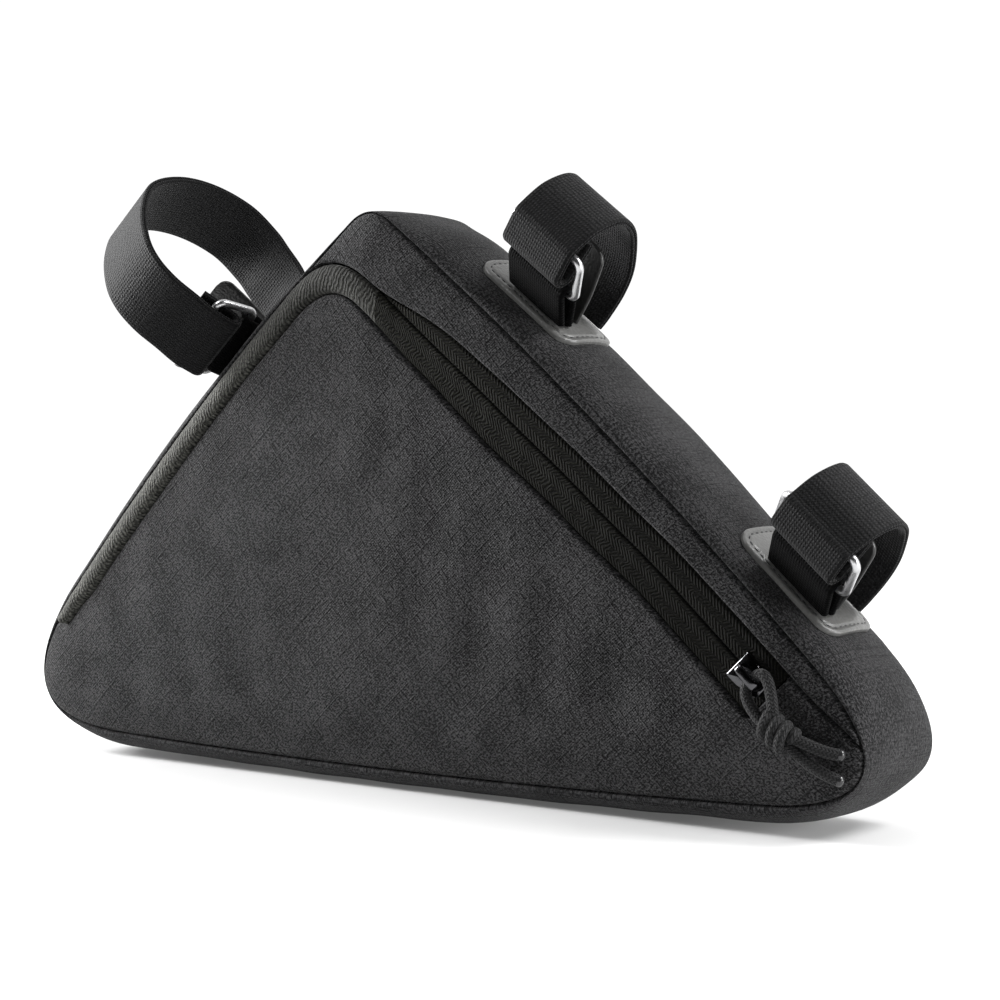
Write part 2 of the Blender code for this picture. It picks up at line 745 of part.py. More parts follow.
def slider(metal):
    """A plate over the slit with a bridge that the cord passes under."""
    seat, run, across, up = slider_seat()
    place = Matrix((run, across, up)).transposed().to_4x4()
    place.translation = Vector(seat)

    half = SLIDER_WIDTH / 2
    tip = SLIDER_LENGTH / 2
    outline = [(-tip, half), (-0.15 * tip, 0.93 * half), (0.25 * tip, 0.76 * half),
               (0.7 * tip, 0.72 * half), (tip, 0.45 * half)]
    outline = outline + [(x, -w) for x, w in reversed(outline)]
    plate = prism("zip_slider", [(x, w, 0) for x, w in outline], (0, 0, SLIDER_PLATE), metal)
    crown = SLIDER_PLATE + CORD_DIAMETER + CORD_ROOM
    long, bar = BRIDGE_LENGTH / 2, BRIDGE_BAR
    arch = [(-long, 0.5 * SLIDER_PLATE), (-long, crown - bar), (-long + bar, crown + bar), (long - bar, crown + bar),
            (long, crown - bar), (long, 0.5 * SLIDER_PLATE), (long - bar, 0.5 * SLIDER_PLATE),
            (long - bar, crown - bar), (long - 2 * bar, crown), (-long + 2 * bar, crown),
            (-long + bar, crown - bar), (-long + bar, 0.5 * SLIDER_PLATE)]
    bridge = prism("bridge_cutter", [(x, -BRIDGE_WIDTH / 2, z) for x, z in arch], (0, BRIDGE_WIDTH, 0), metal)
    for piece in (plate, bridge):
        piece.data.transform(place)
    bridge.hide_render = True
    bridge.display_type = "WIRE"
    union = plate.modifiers.new("bridge", "BOOLEAN")
    union.operation = "UNION"
    union.object = bridge


def prism(name, outline, step, finish):
    """A flat outline carried along a step."""
    base = np.array(outline, float)
    top = base + np.array(step, float)
    n = len(base)
    faces = [tuple(range(n)), tuple(range(2 * n - 1, n - 1, -1))]
    faces += [(i, i + n, (i + 1) % n + n, (i + 1) % n) for i in range(n)]
    return make_object(name, np.vstack([base, top]), faces, finish)


def pull(cord):
    """The cord pull: two legs from under the bridge, the knot and two tails."""
    seat = slider_seat()[0]
    for name, route in (
        ("pull_leg_lower", LEG_LOWER_ROUTE),
        ("pull_leg_upper", LEG_UPPER_ROUTE),
        ("pull_tail_upper", TAIL_UPPER_ROUTE),
        ("pull_tail_lower", TAIL_LOWER_ROUTE),
    ):
        cord_piece(name, seat + MM * np.array(route), cord)
    turn = np.linspace(0, 2 * math.pi, 12, endpoint=False)
    rise = np.linspace(-math.pi / 2, math.pi / 2, 9)[1:-1]
    ball = np.stack([
        np.broadcast_to(np.sin(rise)[:, None] * KNOT_LENGTH / 2, (7, 12)),
        np.cos(rise)[:, None] * np.cos(turn) * KNOT_THICK / 2,
        np.cos(rise)[:, None] * np.sin(turn) * KNOT_WIDTH / 2,
    ], axis=-1).reshape(-1, 3)
    poles = np.array([[-KNOT_LENGTH / 2, 0, 0], [KNOT_LENGTH / 2, 0, 0]])
    index = np.arange(84).reshape(7, 12)
    faces = [tuple(f) for f in quads(np.hstack([index, index[:, :1]]), False)]
    faces += [(a, b, 84) for a, b in zip(index[0], np.roll(index[0], -1))]
    faces += [(a, b, 85) for a, b in zip(index[-1], np.roll(index[-1], -1))]
    made = make_object("pull_knot", np.vstack([ball, poles]), faces, cord)
    place = Vector(seat + MM * np.array(KNOT_PLACE))
    made.data.transform(Matrix.Translation(place) @ Matrix.Rotation(-KNOT_TURN, 4, "Y"))


class StrapPlace:
    """The local frame of a strap: along the tube, across the bag and out from the crest."""

    def __init__(self, side, share, turn=0.0, shift=(0.0, 0.0)):
        self.side, self.share, self.turn, self.shift = side, share, turn, np.array(shift)
        near = share + np.array((-0.01, 0.0, 0.01))
        point, _, normal = side_frame(side, near)
        crest = point + normal * crown_at(side, near)[:, None]
        run = (crest[2] - crest[0]) / np.linalg.norm(crest[2] - crest[0])
        self.crest = np.array([crest[1, 0], 0, crest[1, 1]])
        self.run = np.array([run[0], 0, run[1]])
        self.out = np.array([-run[1], 0, run[0]])

    def grid(self, across, up, along):
        """Places from matching arrays of across, up and along."""
        y = np.array([0.0, 1.0, 0.0])
        across, up, along = np.broadcast_arrays(across, up, along)
        return (self.crest + across[..., None] * y + up[..., None] * self.out
                + along[..., None] * self.run)

    def patch_top(self, across):
        """Height of the patch's upper face over the crest, where a foot stands on it."""
        fall = crown_at(self.side, self.share) * (1 - np.sqrt(1 - (2 * across / DEPTH) ** 2))
        return PATCH_SEAT + PATCH_THICK - fall

    def turned(self, spot):
        """A place of the lock, (across, up), after its turn about the crest and its shift."""
        across, up = spot
        cos, sin = math.cos(self.turn), math.sin(self.turn)
        return np.array([across * cos - up * sin, across * sin + up * cos]) + self.shift


def ribbon(name, place, path, width, thick, finish, corner=0.0):
    """A strip of even thickness along a path of (across, up), with rounded corners at its end."""
    path = np.asarray(path)
    step = np.gradient(path, axis=0)
    step /= np.linalg.norm(step, axis=1, keepdims=True)
    side = np.stack([-step[:, 1], step[:, 0]], axis=-1) * thick / 2
    run = np.concatenate([[0], np.cumsum(np.linalg.norm(np.diff(path, axis=0), axis=1))])
    left = np.minimum(run[-1] - run, corner)
    half = width / 2 - corner + np.sqrt(np.maximum(0, corner ** 2 - (corner - left) ** 2))
    along = half[:, None] * np.array([-1.0, 1.0])
    walls = [place.grid(edge[:, :1], edge[:, 1:], along) for edge in (path + side, path - side)]
    return slab(name, walls[0], walls[1], finish)


def arc(centre, radius, start, end, count):
    """Points on a circle in (across, up), from one angle to another, in degrees."""
    angle = np.radians(np.linspace(start, end, count))
    return np.asarray(centre) + radius * np.stack([np.cos(angle), np.sin(angle)], axis=-1)


def patch(name, side, middle_share, leather):
    """A rounded leatherette patch, sewn over the crown."""
    end_rows = np.array((0.0, 0.25, 0.6, 1.0)) * PATCH_CORNER
    middle = np.linspace(PATCH_CORNER, PATCH_LENGTH - PATCH_CORNER, 5)[1:-1]
    along = np.concatenate([end_rows, middle, PATCH_LENGTH - end_rows[::-1]])
    edge = np.minimum(np.minimum(along, PATCH_LENGTH - along), PATCH_CORNER)
    half = PATCH_WIDTH / 2 - PATCH_CORNER + np.sqrt(PATCH_CORNER ** 2 - (PATCH_CORNER - edge) ** 2)
    across = half[:, None] * np.linspace(-1, 1, 7)
    share = middle_share + (along - PATCH_LENGTH / 2)[:, None] / side_length(side) + 0 * across
    slab(name, gusset_top(side, share, across, PATCH_SEAT + PATCH_THICK),
         gusset_top(side, share, across, PATCH_SEAT), leather)


def strap_set(name, place, rows, loop_size, lean, webbing, leather, metal):
    """Pad, base webbing, ring and long loop of one strap."""
    hold = RING_WIRE / 2 + GAP + WEBBING_THICK / 2
    foot_gap = 2 * GAP
    low, high = place.turned(RING_LOWER_BAR), place.turned(RING_UPPER_BAR)

    # Pad that stands up from the patch behind the ring
    foot = (PAD_FOOT_ACROSS, place.patch_top(PAD_FOOT_ACROSS) + foot_gap)
    bow = (PAD_FOOT_ACROSS + 0.2 * PAD_TOP[0], 0.45 * PAD_TOP[1])
    top = resampled(smooth_through((foot, bow, PAD_TOP), 6), 9)
    tail = resampled(top[-2:], 4)
    ribbon(f"pad_{name}", place, np.vstack([top[:-2], tail]), PAD_WIDTH, PAD_THICK, leather, PAD_CORNER)

    # Base webbing, doubled round the lower bar
    foot_up = float(place.patch_top(BASE_FOOT_ACROSS)) + foot_gap + 0.4 * WEBBING_THICK
    lean_angle = math.degrees(math.atan2(low[1] - foot_up, low[0] - BASE_FOOT_ACROSS))
    turn = arc(low, hold, lean_angle - 90, lean_angle + 90, 9)
    spread = 0.85 * WEBBING_THICK
    inner_foot = (BASE_FOOT_ACROSS + spread, foot_up)
    outer_foot = (BASE_FOOT_ACROSS - spread, foot_up)
    path = np.vstack([resampled((inner_foot, turn[0]), 3)[:-1], turn, resampled((turn[-1], outer_foot), 3)[1:]])
    ribbon(f"base_{name}", place, path, WEBBING_WIDTH, WEBBING_THICK, webbing)

    # Wire ring round both bars
    centre, rise = (low + high) / 2, (high - low) / 2
    tall = float(np.linalg.norm(rise))
    long = RING_INSIDE / 2 + RING_WIRE / 2
    outline = rounded_box(long, tall, RING_WIRE, 4)
    spots = centre + outline[:, 1:] * rise / tall
    path = place.grid(spots[:, 0], spots[:, 1], outline[:, 0])
    direction = place.grid(rise[0], rise[1], 0.0) - place.crest
    square = np.cross(direction, place.run)
    closed_tube(f"ring_{name}", path, RING_WIRE / 2, RING_SIDES, square / np.linalg.norm(square), metal)

    # Long loop: up from its back foot, over, down outside the upper bar and back up inside
    loop = np.array(rows) * np.array(loop_size) + np.array((lean, 0.0))
    rise = loop[1] - loop[0]
    dip = abs(rise[0]) / np.linalg.norm(rise) * WEBBING_THICK / 2
    loop[0, 1] = place.patch_top(loop[0, 0]) + foot_gap + dip
    past_bar = place.turned((RING_UPPER_BAR[0] - hold - GAP, RING_UPPER_BAR[1]))
    lean_turn = math.degrees(place.turn)
    turn = arc(place.turned(TURN_CENTRE), hold, 180 + lean_turn, 360 + lean_turn, 7)
    inside = place.turned((TAIL_TOP[0], RING_UPPER_BAR[1]))
    outer_run = smooth_through(np.vstack([loop, past_bar, turn[:1]]), 3)
    tail_run = smooth_through(np.vstack([turn[-1:], inside, place.turned(TAIL_TOP)]), 3)
    path = np.vstack([outer_run[:-1], turn, tail_run[1:]])
    ribbon(f"strap_{name}", place, path, WEBBING_WIDTH, WEBBING_THICK, webbing)


def rounded_box(half_long, half_tall, radius, steps):
    """A rectangle with round corners, as points going round it."""
    corners = []
    for sx, sz, start in ((1, 1, 0), (-1, 1, 90), (-1, -1, 180), (1, -1, 270)):
        centre = (sx * (half_long - radius), sz * (half_tall - radius))
        corners.append(arc(centre, radius, start, start + 90, steps))
    return np.vstack(corners)


def main():
    for old in list(bpy.data.objects):
        bpy.data.objects.remove(old, do_unlink=True)
    cloth = material("bag_cloth", (0.05, 0.05, 0.053), 0.9)
    tape = material("zip_tape", (0.02, 0.02, 0.018), 0.85)
    webbing = material("strap_webbing", (0.015, 0.015, 0.016), 0.8)
    leather = material("patch_leatherette", (0.16, 0.16, 0.155), 0.45)
    metal = material("ring_metal", (0.55, 0.55, 0.56), 0.3, 1.0)
    dark_metal = material("slider_metal", (0.08, 0.08, 0.085), 0.25, 1.0)
    cord = material("pull_cord", (0.03, 0.03, 0.031), 0.8)

    gusset(cloth)
    front(cloth, tape)
    panel("back_panel", SEAM[0], on_back, cloth)
    slider(dark_metal)
    pull(cord)
    upper_size = (UPPER_LOOP_WIDTH, UPPER_LOOP_HEIGHT)
    lower_size = (UPPER_LOOP_WIDTH, LOWER_LOOP_HEIGHT)
    rear_size = (REAR_LOOP_WIDTH, REAR_LOOP_HEIGHT)
    level = (0.0, (0.0, 0.0))
    rear_lock = (REAR_LOCK_TURN, REAR_LOCK_SHIFT)
    for name, side, share, rows, size, lean, lock in (
        ("upper", "upper", UPPER_STRAP_SHARE, UPPER_LOOP_ROWS, upper_size, UPPER_LOOP_LEAN, level),
        ("lower", "upper", LOWER_STRAP_SHARE, UPPER_LOOP_ROWS, lower_size, UPPER_LOOP_LEAN, level),
        ("rear", "rear", REAR_STRAP_SHARE, REAR_LOOP_ROWS, rear_size, REAR_LOOP_LEAN, rear_lock),
    ):
        patch(f"patch_{name}", side, share, leather)
        shift = WEBBING_SHIFT / side_length(side) if side == "upper" else 0.0
        strap_set(name, StrapPlace(side, share + shift, *lock), rows, size, lean, webbing, leather, metal)


SEAM = seam_outline()
main()
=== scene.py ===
"""Looks of the bicycle frame bag: cloth, zip, webbing, patches, rings and cord pull.

Metres, +Z up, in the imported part's own frame. The bag stands on z = 0, its zipped front faces -Y,
and X runs along its bottom from the tail (-X) to the nose (+X).
"""
import math

import bmesh
import bpy
import numpy as np
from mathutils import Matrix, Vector
from mathutils.geometry import delaunay_2d_cdt


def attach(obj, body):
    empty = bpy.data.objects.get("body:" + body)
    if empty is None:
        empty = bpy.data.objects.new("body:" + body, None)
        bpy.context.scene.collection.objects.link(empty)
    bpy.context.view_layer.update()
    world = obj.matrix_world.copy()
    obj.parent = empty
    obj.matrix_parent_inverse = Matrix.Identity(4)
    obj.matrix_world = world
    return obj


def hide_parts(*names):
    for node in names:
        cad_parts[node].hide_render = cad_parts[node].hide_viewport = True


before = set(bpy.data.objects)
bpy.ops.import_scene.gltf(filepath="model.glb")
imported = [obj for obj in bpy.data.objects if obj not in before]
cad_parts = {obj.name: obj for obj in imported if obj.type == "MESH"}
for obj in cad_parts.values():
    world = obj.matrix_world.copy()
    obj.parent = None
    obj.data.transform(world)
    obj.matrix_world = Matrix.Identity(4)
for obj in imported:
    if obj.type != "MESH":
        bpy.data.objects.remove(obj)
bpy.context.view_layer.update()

MM = 0.001

# Camera of the photograph
CAMERA_TARGET = (0.0235, 0.0, 0.0927)
CAMERA_TURN = math.radians(36.0)
CAMERA_TILT = math.radians(2.25)
CAMERA_DISTANCE = 0.731
CAMERA_LENS = 82.8

# Outline of the seam, corner to corner before rounding
BASE_LENGTH = 0.3706
HEIGHT = 0.1762
APEX_X = -0.0126
SEAM_Z = 0.0110
NOSE = np.array([BASE_LENGTH / 2, SEAM_Z])
TAIL = np.array([-BASE_LENGTH / 2, SEAM_Z])
APEX = np.array([APEX_X, SEAM_Z + HEIGHT])
# Each side: start, end, bow and crown of the cloth over it
SIDES = {
    "bottom": (NOSE, TAIL, 0.0045, 0.0075),
    "rear": (TAIL, APEX, 0.0070, 0.0075),
    "upper": (APEX, NOSE, 0.0056, 0.0085),
}
ORDER = ("bottom", "rear", "upper")
CORNERS = {"nose": 0.056, "tail": 0.060, "apex": 0.010}
CORNER_AT_START = {"bottom": "nose", "rear": "tail", "upper": "apex"}
SIDE_STATIONS = {"bottom": 74, "rear": 60, "upper": 66}
CORNER_STATIONS = {"nose": 30, "tail": 30, "apex": 14}
CROWN_ROWS = {
    # along, share of the side's full crown
    "bottom": ((0.0, 0.0), (0.155, 1.0), (0.85, 1.0), (1.0, 0.0)),
    "rear": ((0.0, 0.0), (0.25, 0.85), (0.5, 1.0), (0.75, 0.85), (1.0, 0.0)),
    "upper": ((0.0, 0.0), (0.12, 0.85), (0.30, 0.97), (0.45, 0.95), (0.67, 0.62), (0.80, 0.75), (1.0, 0.0)),
}
CORNER_CROWN = 0.0012

# Depth between the two seams, and the bulge of the faces
DEPTH = 0.044
FRONT_DOME = 0.0045
BACK_DOME = 0.0060
DOME_REACH = 0.016
CLOTH = 0.0016
SEAM_GAP = 0.00035
FOLD = 0.0014

# Unevenness of the cloth: slow waves, and gathers along a seam
GUSSET_DRIFT = 0.0004
FLAP_DRIFT = 0.00025
BACK_DRIFT = 0.0005
BAND_DRIFT = 0.0003
SEAM_PUCKER = 0.00008
GUSSET_COLUMNS = 81
GUSSET_FLOOR = 0.00005
FLOOR_SOFTNESS = 0.0008

# Zip, measured in from the seam. Rows: share along the side, factor of the inset or width
TAPE_RECESS = 0.0009
ROLL_RISE = 0.0022
ROLL_WIDTH = 0.0078
SLIT_INSET = 0.0188
TAPE_HALF = 0.0090
ROLL_ROWS = ((0.195, 0.62), (0.225, 0.80), (0.28, 1.0), (0.5, 1.05), (0.7, 1.0), (0.79, 1.05))
SLIT_ROWS = ((0.075, 1.0), (0.18, 1.02), (0.32, 1.0), (0.47, 0.94), (0.62, 0.86), (0.785, 0.82))
FLAP_ROWS = ((0.078, 0.92), (0.18, 1.05), (0.32, 1.18), (0.47, 1.08), (0.62, 1.0), (0.785, 0.98))
BAND_ROWS = (
    (0.085, 0.0), (0.115, 0.18), (0.150, 0.44), (0.20, 0.66),
    (0.32, 0.80), (0.47, 0.86), (0.62, 0.90), (0.785, 0.91),
)
TAPE_GAP = 0.00022
TAPE_WALL = 0.0006
TAPE_SLIT_FOLD = 0.0007
TAPE_CLOTH_FOLD = 0.0009
# How far the tape goes on under the cloth beside it, and how it lies there
TAPE_TUCK = np.array([0.0003, 0.0009, 0.0018])
TAPE_TUCK_LIFT = np.array([-0.0019, -0.0022, -0.0023])
TAPE_STATIONS = 360
ROLL_PART = 0.52
LINE_STATIONS = 60
BAND_STATIONS = 300
NOSE_LINE_INSET = 0.0072
ROLL_TO_FLAT_ROWS = ((0.42, 0.0), (0.60, 1.0))
ROLL_START = 0.195
FLAP_LEAVES_REAR = 0.815
SLIT_LEAVES_REAR = 0.835
FLAP_JOINS_UPPER = 0.078
SLIT_JOINS_UPPER = 0.075
UPPER_TAPE_START = 0.075
TAPE_END = 0.785
PINCH_PLACE = np.array([0.1603, 0.0273])
BAND_LEAST = 0.0006
BEND_FULLNESS = 0.45
RIM_STEP = 0.0012
RIM_CORNER_SINE = 0.45
PANEL_STEP = 0.0017
PANEL_RIM_INSETS = (0.00015, 0.0004, 0.0007, 0.0011, 0.0016, 0.0023, 0.0032)
PANEL_GRID_INSET = 0.0042
PANEL_SETTLE_REACH = 0.010
# Cloth simulation of a panel: its square step, pressure, frames and the most that it may move
SETTLE_STEP = 0.005
SETTLE_PRESSURE = 0.35
SETTLE_FRAMES = 20
SETTLE_MOST = 0.0008

# Slider and cord pull
SLIDER_SHARE = 0.758
SLIDER_LENGTH = 0.0115
SLIDER_WIDTH = 0.0095
SLIDER_PLATE = 0.0021
SLIDER_SEAT = 0.0006
BRIDGE_LENGTH = 0.0094
BRIDGE_WIDTH = 0.0026
BRIDGE_BAR = 0.0012
BRIDGE_SHIFT = (0.0006, 0.0009, 0.0)
SLIDER_EDGE = (
    # shares of the half length and the half width
    (-1.0, 0.90), (-0.92, 1.0), (-0.15, 0.93), (0.25, 0.76), (0.7, 0.72), (0.97, 0.50), (1.0, 0.38),
)
SLIDER_LEVELS = (
    # share of the outline, share of the plate's thickness
    (0.30, 0.0), (0.90, 0.0), (0.97, 0.06), (1.0, 0.2), (1.0, 0.75), (0.97, 0.92), (0.90, 1.0), (0.30, 0.94),
)
CORD_DIAMETER = 0.0034
CORD_ROOM = 0.0004
CORD_LOWER_ROUTE = (
    # mm from the slider's underside: under the bridge, the lower leg, through the knot, the lower tail
    (2.6, -4.4, -0.4),
    (1.1, -4.5, -1.8),
    (0.8, -4.9, -3.8),
    (1.6, -5.2, -5.9),
    (3.2, -5.3, -8.4),
    (5.6, -5.3, -11.0),
    (8.6, -5.2, -13.3),
    (12.0, -5.0, -15.9),
    (15.8, -4.4, -18.9),
    (20.2, -3.7, -22.4),
    (24.7, -2.7, -25.0),
    (28.8, -1.7, -26.6),
)
CORD_UPPER_ROUTE = (
    # mm from the slider's underside: under the bridge, the upper leg, through the knot, the upper tail
    (2.6, -4.4, -0.4),
    (4.2, -4.5, 1.2),
    (6.2, -4.8, 1.6),
    (8.0, -5.1, -0.4),
    (9.2, -5.3, -4.6),
    (9.8, -5.3, -8.8),
    (11.0, -5.2, -12.2),
    (13.4, -5.0, -14.4),
    (16.8, -4.5, -15.8),
    (21.7, -3.7, -17.6),
    (25.9, -2.6, -18.9),
    (29.2, -1.7, -19.4),
)
KNOT_PLACE = (11.2, -5.0, -14.3)
KNOT_TURN = math.radians(-32)
KNOT_RADII = (0.0034, 0.0026)
KNOT_TURNS = 3.2
KNOT_PITCH = 0.0031
KNOT_SLANT = 0.0003
KNOT_PHASE = 0.6
KNOT_CORD = 0.92
TIP_LENGTH = 0.0016
TIP_OVERLAP = 0.0004

# Straps: places are (across, up) from the crest of the gusset
WEBBING_WIDTH = 0.025
WEBBING_THICK = 0.0024
WEBBING_SHIFT = 0.0028
UPPER_LOOP = (0.0414, 0.0413, -0.0093)
LOWER_LOOP = (0.0414, 0.0385, -0.0093)
REAR_LOOP = (0.0730, 0.0745, -0.0012)
REAR_LOCK_TURN = math.radians(40)
REAR_LOCK_SHIFT = (0.0100, 0.0067)
RING_WIRE = 0.0026
RING_INSIDE = 0.0268
RING_LOWER_BAR = (-0.0175, 0.0132)
RING_UPPER_BAR = (-0.0258, 0.0256)
TURN_CENTRE = (-0.0253, 0.0193)
BASE_FOOT_ACROSS = -0.0090
TAIL_TOP = (-0.0222, 0.0312)
PATCH_LENGTH = 0.042
PATCH_WIDTH = 0.028
PATCH_CORNER = 0.006
PATCH_THICK = 0.0012
PATCH_SEAT = 0.0004
STITCH_INSET = 0.0021
STITCH_PITCH = 0.0026
STITCH_LENGTH = 0.0018
STITCH_THICK = 0.00055
PAD_WIDTH = 0.021
PAD_THICK = 0.0014
PAD_FOOT_ACROSS = -0.0010
PAD_TOP = (-0.0080, 0.0270)
PAD_CORNER = 0.0045
GAP = 0.0003
SIDE_LOOP_ROWS = (
    # across, up
    (0.455, 0.010), (0.474, 0.150), (0.468, 0.366), (0.394, 0.577), (0.208, 0.811),
    (0.060, 0.925), (-0.123, 0.968), (-0.331, 0.870), (-0.452, 0.700),
)
REAR_LOOP_ROWS = (
    # across, up
    (0.140, 0.006), (0.270, 0.090), (0.414, 0.247), (0.476, 0.416), (0.483, 0.560),
    (0.483, 0.675), (0.428, 0.834), (0.263, 0.950), (0.054, 0.984), (-0.183, 0.922),
    (-0.363, 0.757), (-0.480, 0.571), (-0.515, 0.430), (-0.490, 0.300), (-0.425, 0.190),
)
STRAPS = (
    # name, side, share along it, loop line and size, turn and shift of the lock
    ("upper", "upper", 0.237, SIDE_LOOP_ROWS, UPPER_LOOP, 0.0, (0.0, 0.0)),
    ("lower", "upper", 0.700, SIDE_LOOP_ROWS, LOWER_LOOP, 0.0, (0.0, 0.0)),
    ("rear", "rear", 0.681, REAR_LOOP_ROWS, REAR_LOOP, REAR_LOCK_TURN, REAR_LOCK_SHIFT),
)


# Lines and places

def blend_rows(x, rows):
    """Smooth steps from row to row: each row is a place and its value."""
    places = np.array([row[0] for row in rows])
    values = np.array([row[1] for row in rows])
    x = np.clip(x, places[0], places[-1])
    i = np.clip(np.searchsorted(places, x, side="right") - 1, 0, len(places) - 2)
    t = (x - places[i]) / (places[i + 1] - places[i])
    return values[i] + (values[i + 1] - values[i]) * t * t * (3 - 2 * t)


def smooth_through(points, steps):
    """A Catmull-Rom curve through the points, with so many steps from each to the next."""
    p = np.asarray(points, float)
    p = np.vstack([2 * p[0] - p[1], p, 2 * p[-1] - p[-2]])
    t = np.linspace(0, 1, steps, endpoint=False)[:, None]
    a, b, c, d = (p[k:len(p) - 3 + k, None, :] for k in range(4))
    runs = 2 * b + (c - a) * t + (2 * a - 5 * b + 4 * c - d) * t ** 2 + (3 * b - a - 3 * c + d) * t ** 3
    return np.vstack([0.5 * runs.reshape(-1, p.shape[1]), p[-2:-1]])


def run_of(points):
    """Length along a line at each of its points."""
    return np.concatenate([[0], np.cumsum(np.linalg.norm(np.diff(points, axis=0), axis=1))])


def rows_at(at, run, rows):
    """Rows of numbers, read between the ones given at runs along a line."""
    return np.stack([np.interp(at, run, rows[:, k]) for k in range(rows.shape[1])], axis=-1)


def resampled(points, count):
    """The same line with evenly spaced points."""
    points = np.asarray(points, float)
    run = run_of(points)
    return rows_at(np.linspace(0, run[-1], count), run, points)


def closed_even(loop, count):
    """A closed line with evenly spaced points, its first not repeated."""
    return resampled(np.vstack([loop, loop[:1]]), count + 1)[:-1]


def unit(v):
    return v / np.linalg.norm(v, axis=-1, keepdims=True)


def left_of(v):
    """Flat directions turned a quarter to the left."""
    return np.stack([-v[..., 1], v[..., 0]], axis=-1)


def closed_direction(loop):
    """Unit direction of a closed line at each of its points."""
    return unit(np.roll(loop, -1, axis=0) - np.roll(loop, 1, axis=0))


def crossed(along, across):
    """Pattern places from lengths along a piece and lengths across it."""
    return np.stack(np.broadcast_arrays(along[:, None], across), axis=-1)


def between(start, end, shares):
    """Places on the straight lines from one line's points to another's, at shares of the way."""
    return start[:, None, :] + (end - start)[:, None, :] * shares[None, :, None]


def side_length(side):
    return float(np.linalg.norm(SIDES[side][1] - SIDES[side][0]))


def side_frame(side, along):
    """Point, run direction and outward direction on a bowed side: a straight line plus a parabola."""
    start, end, bow, _ = SIDES[side]
    along = np.asarray(along, float)[..., None]
    run = end - start
    length = np.linalg.norm(run)
    run = run / length
    out = left_of(run)
    point = start + run * length * along + out * 4 * bow * along * (1 - along)
    tangent = unit(run * length + out * 4 * bow * (1 - 2 * along))
    return point, tangent, left_of(tangent)


def crown_at(side, along):
    """How far the gusset bulges past the seam at a share along a side."""
    return CORNER_CROWN + (SIDES[side][3] - CORNER_CROWN) * blend_rows(along, CROWN_ROWS[side])


def corner_arc(corner, count):
    """A corner as a conic between its two sides, and the crown along it."""
    after = next(s for s in ORDER if CORNER_AT_START[s] == corner)
    before = ORDER[ORDER.index(after) - 1]
    back = CORNERS[corner] / side_length(before)
    ahead = CORNERS[corner] / side_length(after)
    p, tp, _ = side_frame(before, 1 - back)
    q, tq, _ = side_frame(after, ahead)
    cross = tp[0] * tq[1] - tp[1] * tq[0]
    knee = p + tp * ((q - p)[0] * tq[1] - (q - p)[1] * tq[0]) / cross
    t = np.linspace(0, 1, count + 2)[1:-1]
    arc_points = ((1 - t) ** 2)[:, None] * p + (2 * t * (1 - t))[:, None] * knee + (t ** 2)[:, None] * q
    first = crown_at(before, 1 - back * (1 - 2 * np.minimum(t, 0.5)))
    last = crown_at(after, ahead * (2 * np.maximum(t, 0.5) - 1))
    return arc_points, np.where(t < 0.5, first, last)


def seam_outline():
    """Stations round the seam, clockwise from the nose: points, outward normals and crowns."""
    points, crowns = [], []
    for i, side in enumerate(ORDER):
        corner = CORNER_AT_START[side]
        following = CORNER_AT_START[ORDER[(i + 1) % 3]]
        arc_points, crown = corner_arc(corner, CORNER_STATIONS[corner])
        along = np.linspace(CORNERS[corner] / side_length(side), 1 - CORNERS[following] / side_length(side),
                            SIDE_STATIONS[side])
        points += [arc_points, side_frame(side, along)[0]]
        crowns += [crown, crown_at(side, along)]
    points = np.vstack(points)
    return points, left_of(closed_direction(points)), np.concatenate(crowns)


SEAM = seam_outline()


def distance_to(xz, loop):
    """Distance from points to the nearest stretch of a closed line."""
    flat = np.asarray(xz).reshape(-1, 2)
    start, run = loop, np.roll(loop, -1, axis=0) - loop
    square = (run ** 2).sum(-1)
    parts = []
    for chunk in np.array_split(flat, max(1, len(flat) // 4000)):
        offset = chunk[:, None, :] - start
        share = np.clip((offset * run).sum(-1) / square, 0, 1)
        parts.append(np.sqrt(((offset - share[..., None] * run) ** 2).sum(-1).min(-1)))
    return np.concatenate(parts).reshape(np.shape(xz)[:-1])


def face_depth(xz, dome):
    """Distance of a domed face from the middle plane: flat at the seam, fullest well inside."""
    return DEPTH / 2 + dome * (1 - np.exp(-distance_to(xz, SEAM[0]) / DOME_REACH))


def on_front(xz, lift):
    """Places on the front face, lifted off the cloth's outer surface by lift."""
    return np.stack([xz[..., 0], -(face_depth(xz, FRONT_DOME) + lift), xz[..., 1]], axis=-1)


def on_back(xz, lift):
    return np.stack([xz[..., 0], face_depth(xz, BACK_DOME) + lift, xz[..., 1]], axis=-1)


def gusset_top(side, along, across, lift):
    """Places on the crowned gusset: across runs over its depth, lift is outward."""
    point, _, normal = side_frame(side, along)
    rise = crown_at(side, along) * np.sqrt(np.maximum(0, 1 - (2 * across / DEPTH) ** 2)) + lift
    spot = point + normal * rise[..., None]
    return np.stack([spot[..., 0], across + 0 * rise, spot[..., 1]], axis=-1)


def seam_stretch(start, end):
    """The seam's own stations from one place on it to another, going clockwise."""
    seam = SEAM[0]
    loop = np.vstack([seam, seam[:1]])
    run = run_of(loop)
    total = run[-1]
    a, b = loop[:-1], loop[1:]
    places = []
    for spot in (start, end):
        t = np.clip(((spot - a) * (b - a)).sum(1) / ((b - a) ** 2).sum(1), 0, 1)
        i = int(np.linalg.norm(a + (b - a) * t[:, None] - spot, axis=1).argmin())
        places.append(run[i] + t[i] * (run[i + 1] - run[i]))
    first, last = places
    last += total if last <= first else 0
    stations = np.concatenate([run[:-1], run[:-1] + total])
    passed = stations[(stations > first + 0.5 * MM) & (stations < last - 0.5 * MM)]
    return rows_at(np.mod(np.concatenate([[first], passed, [last]]), total), run, loop)


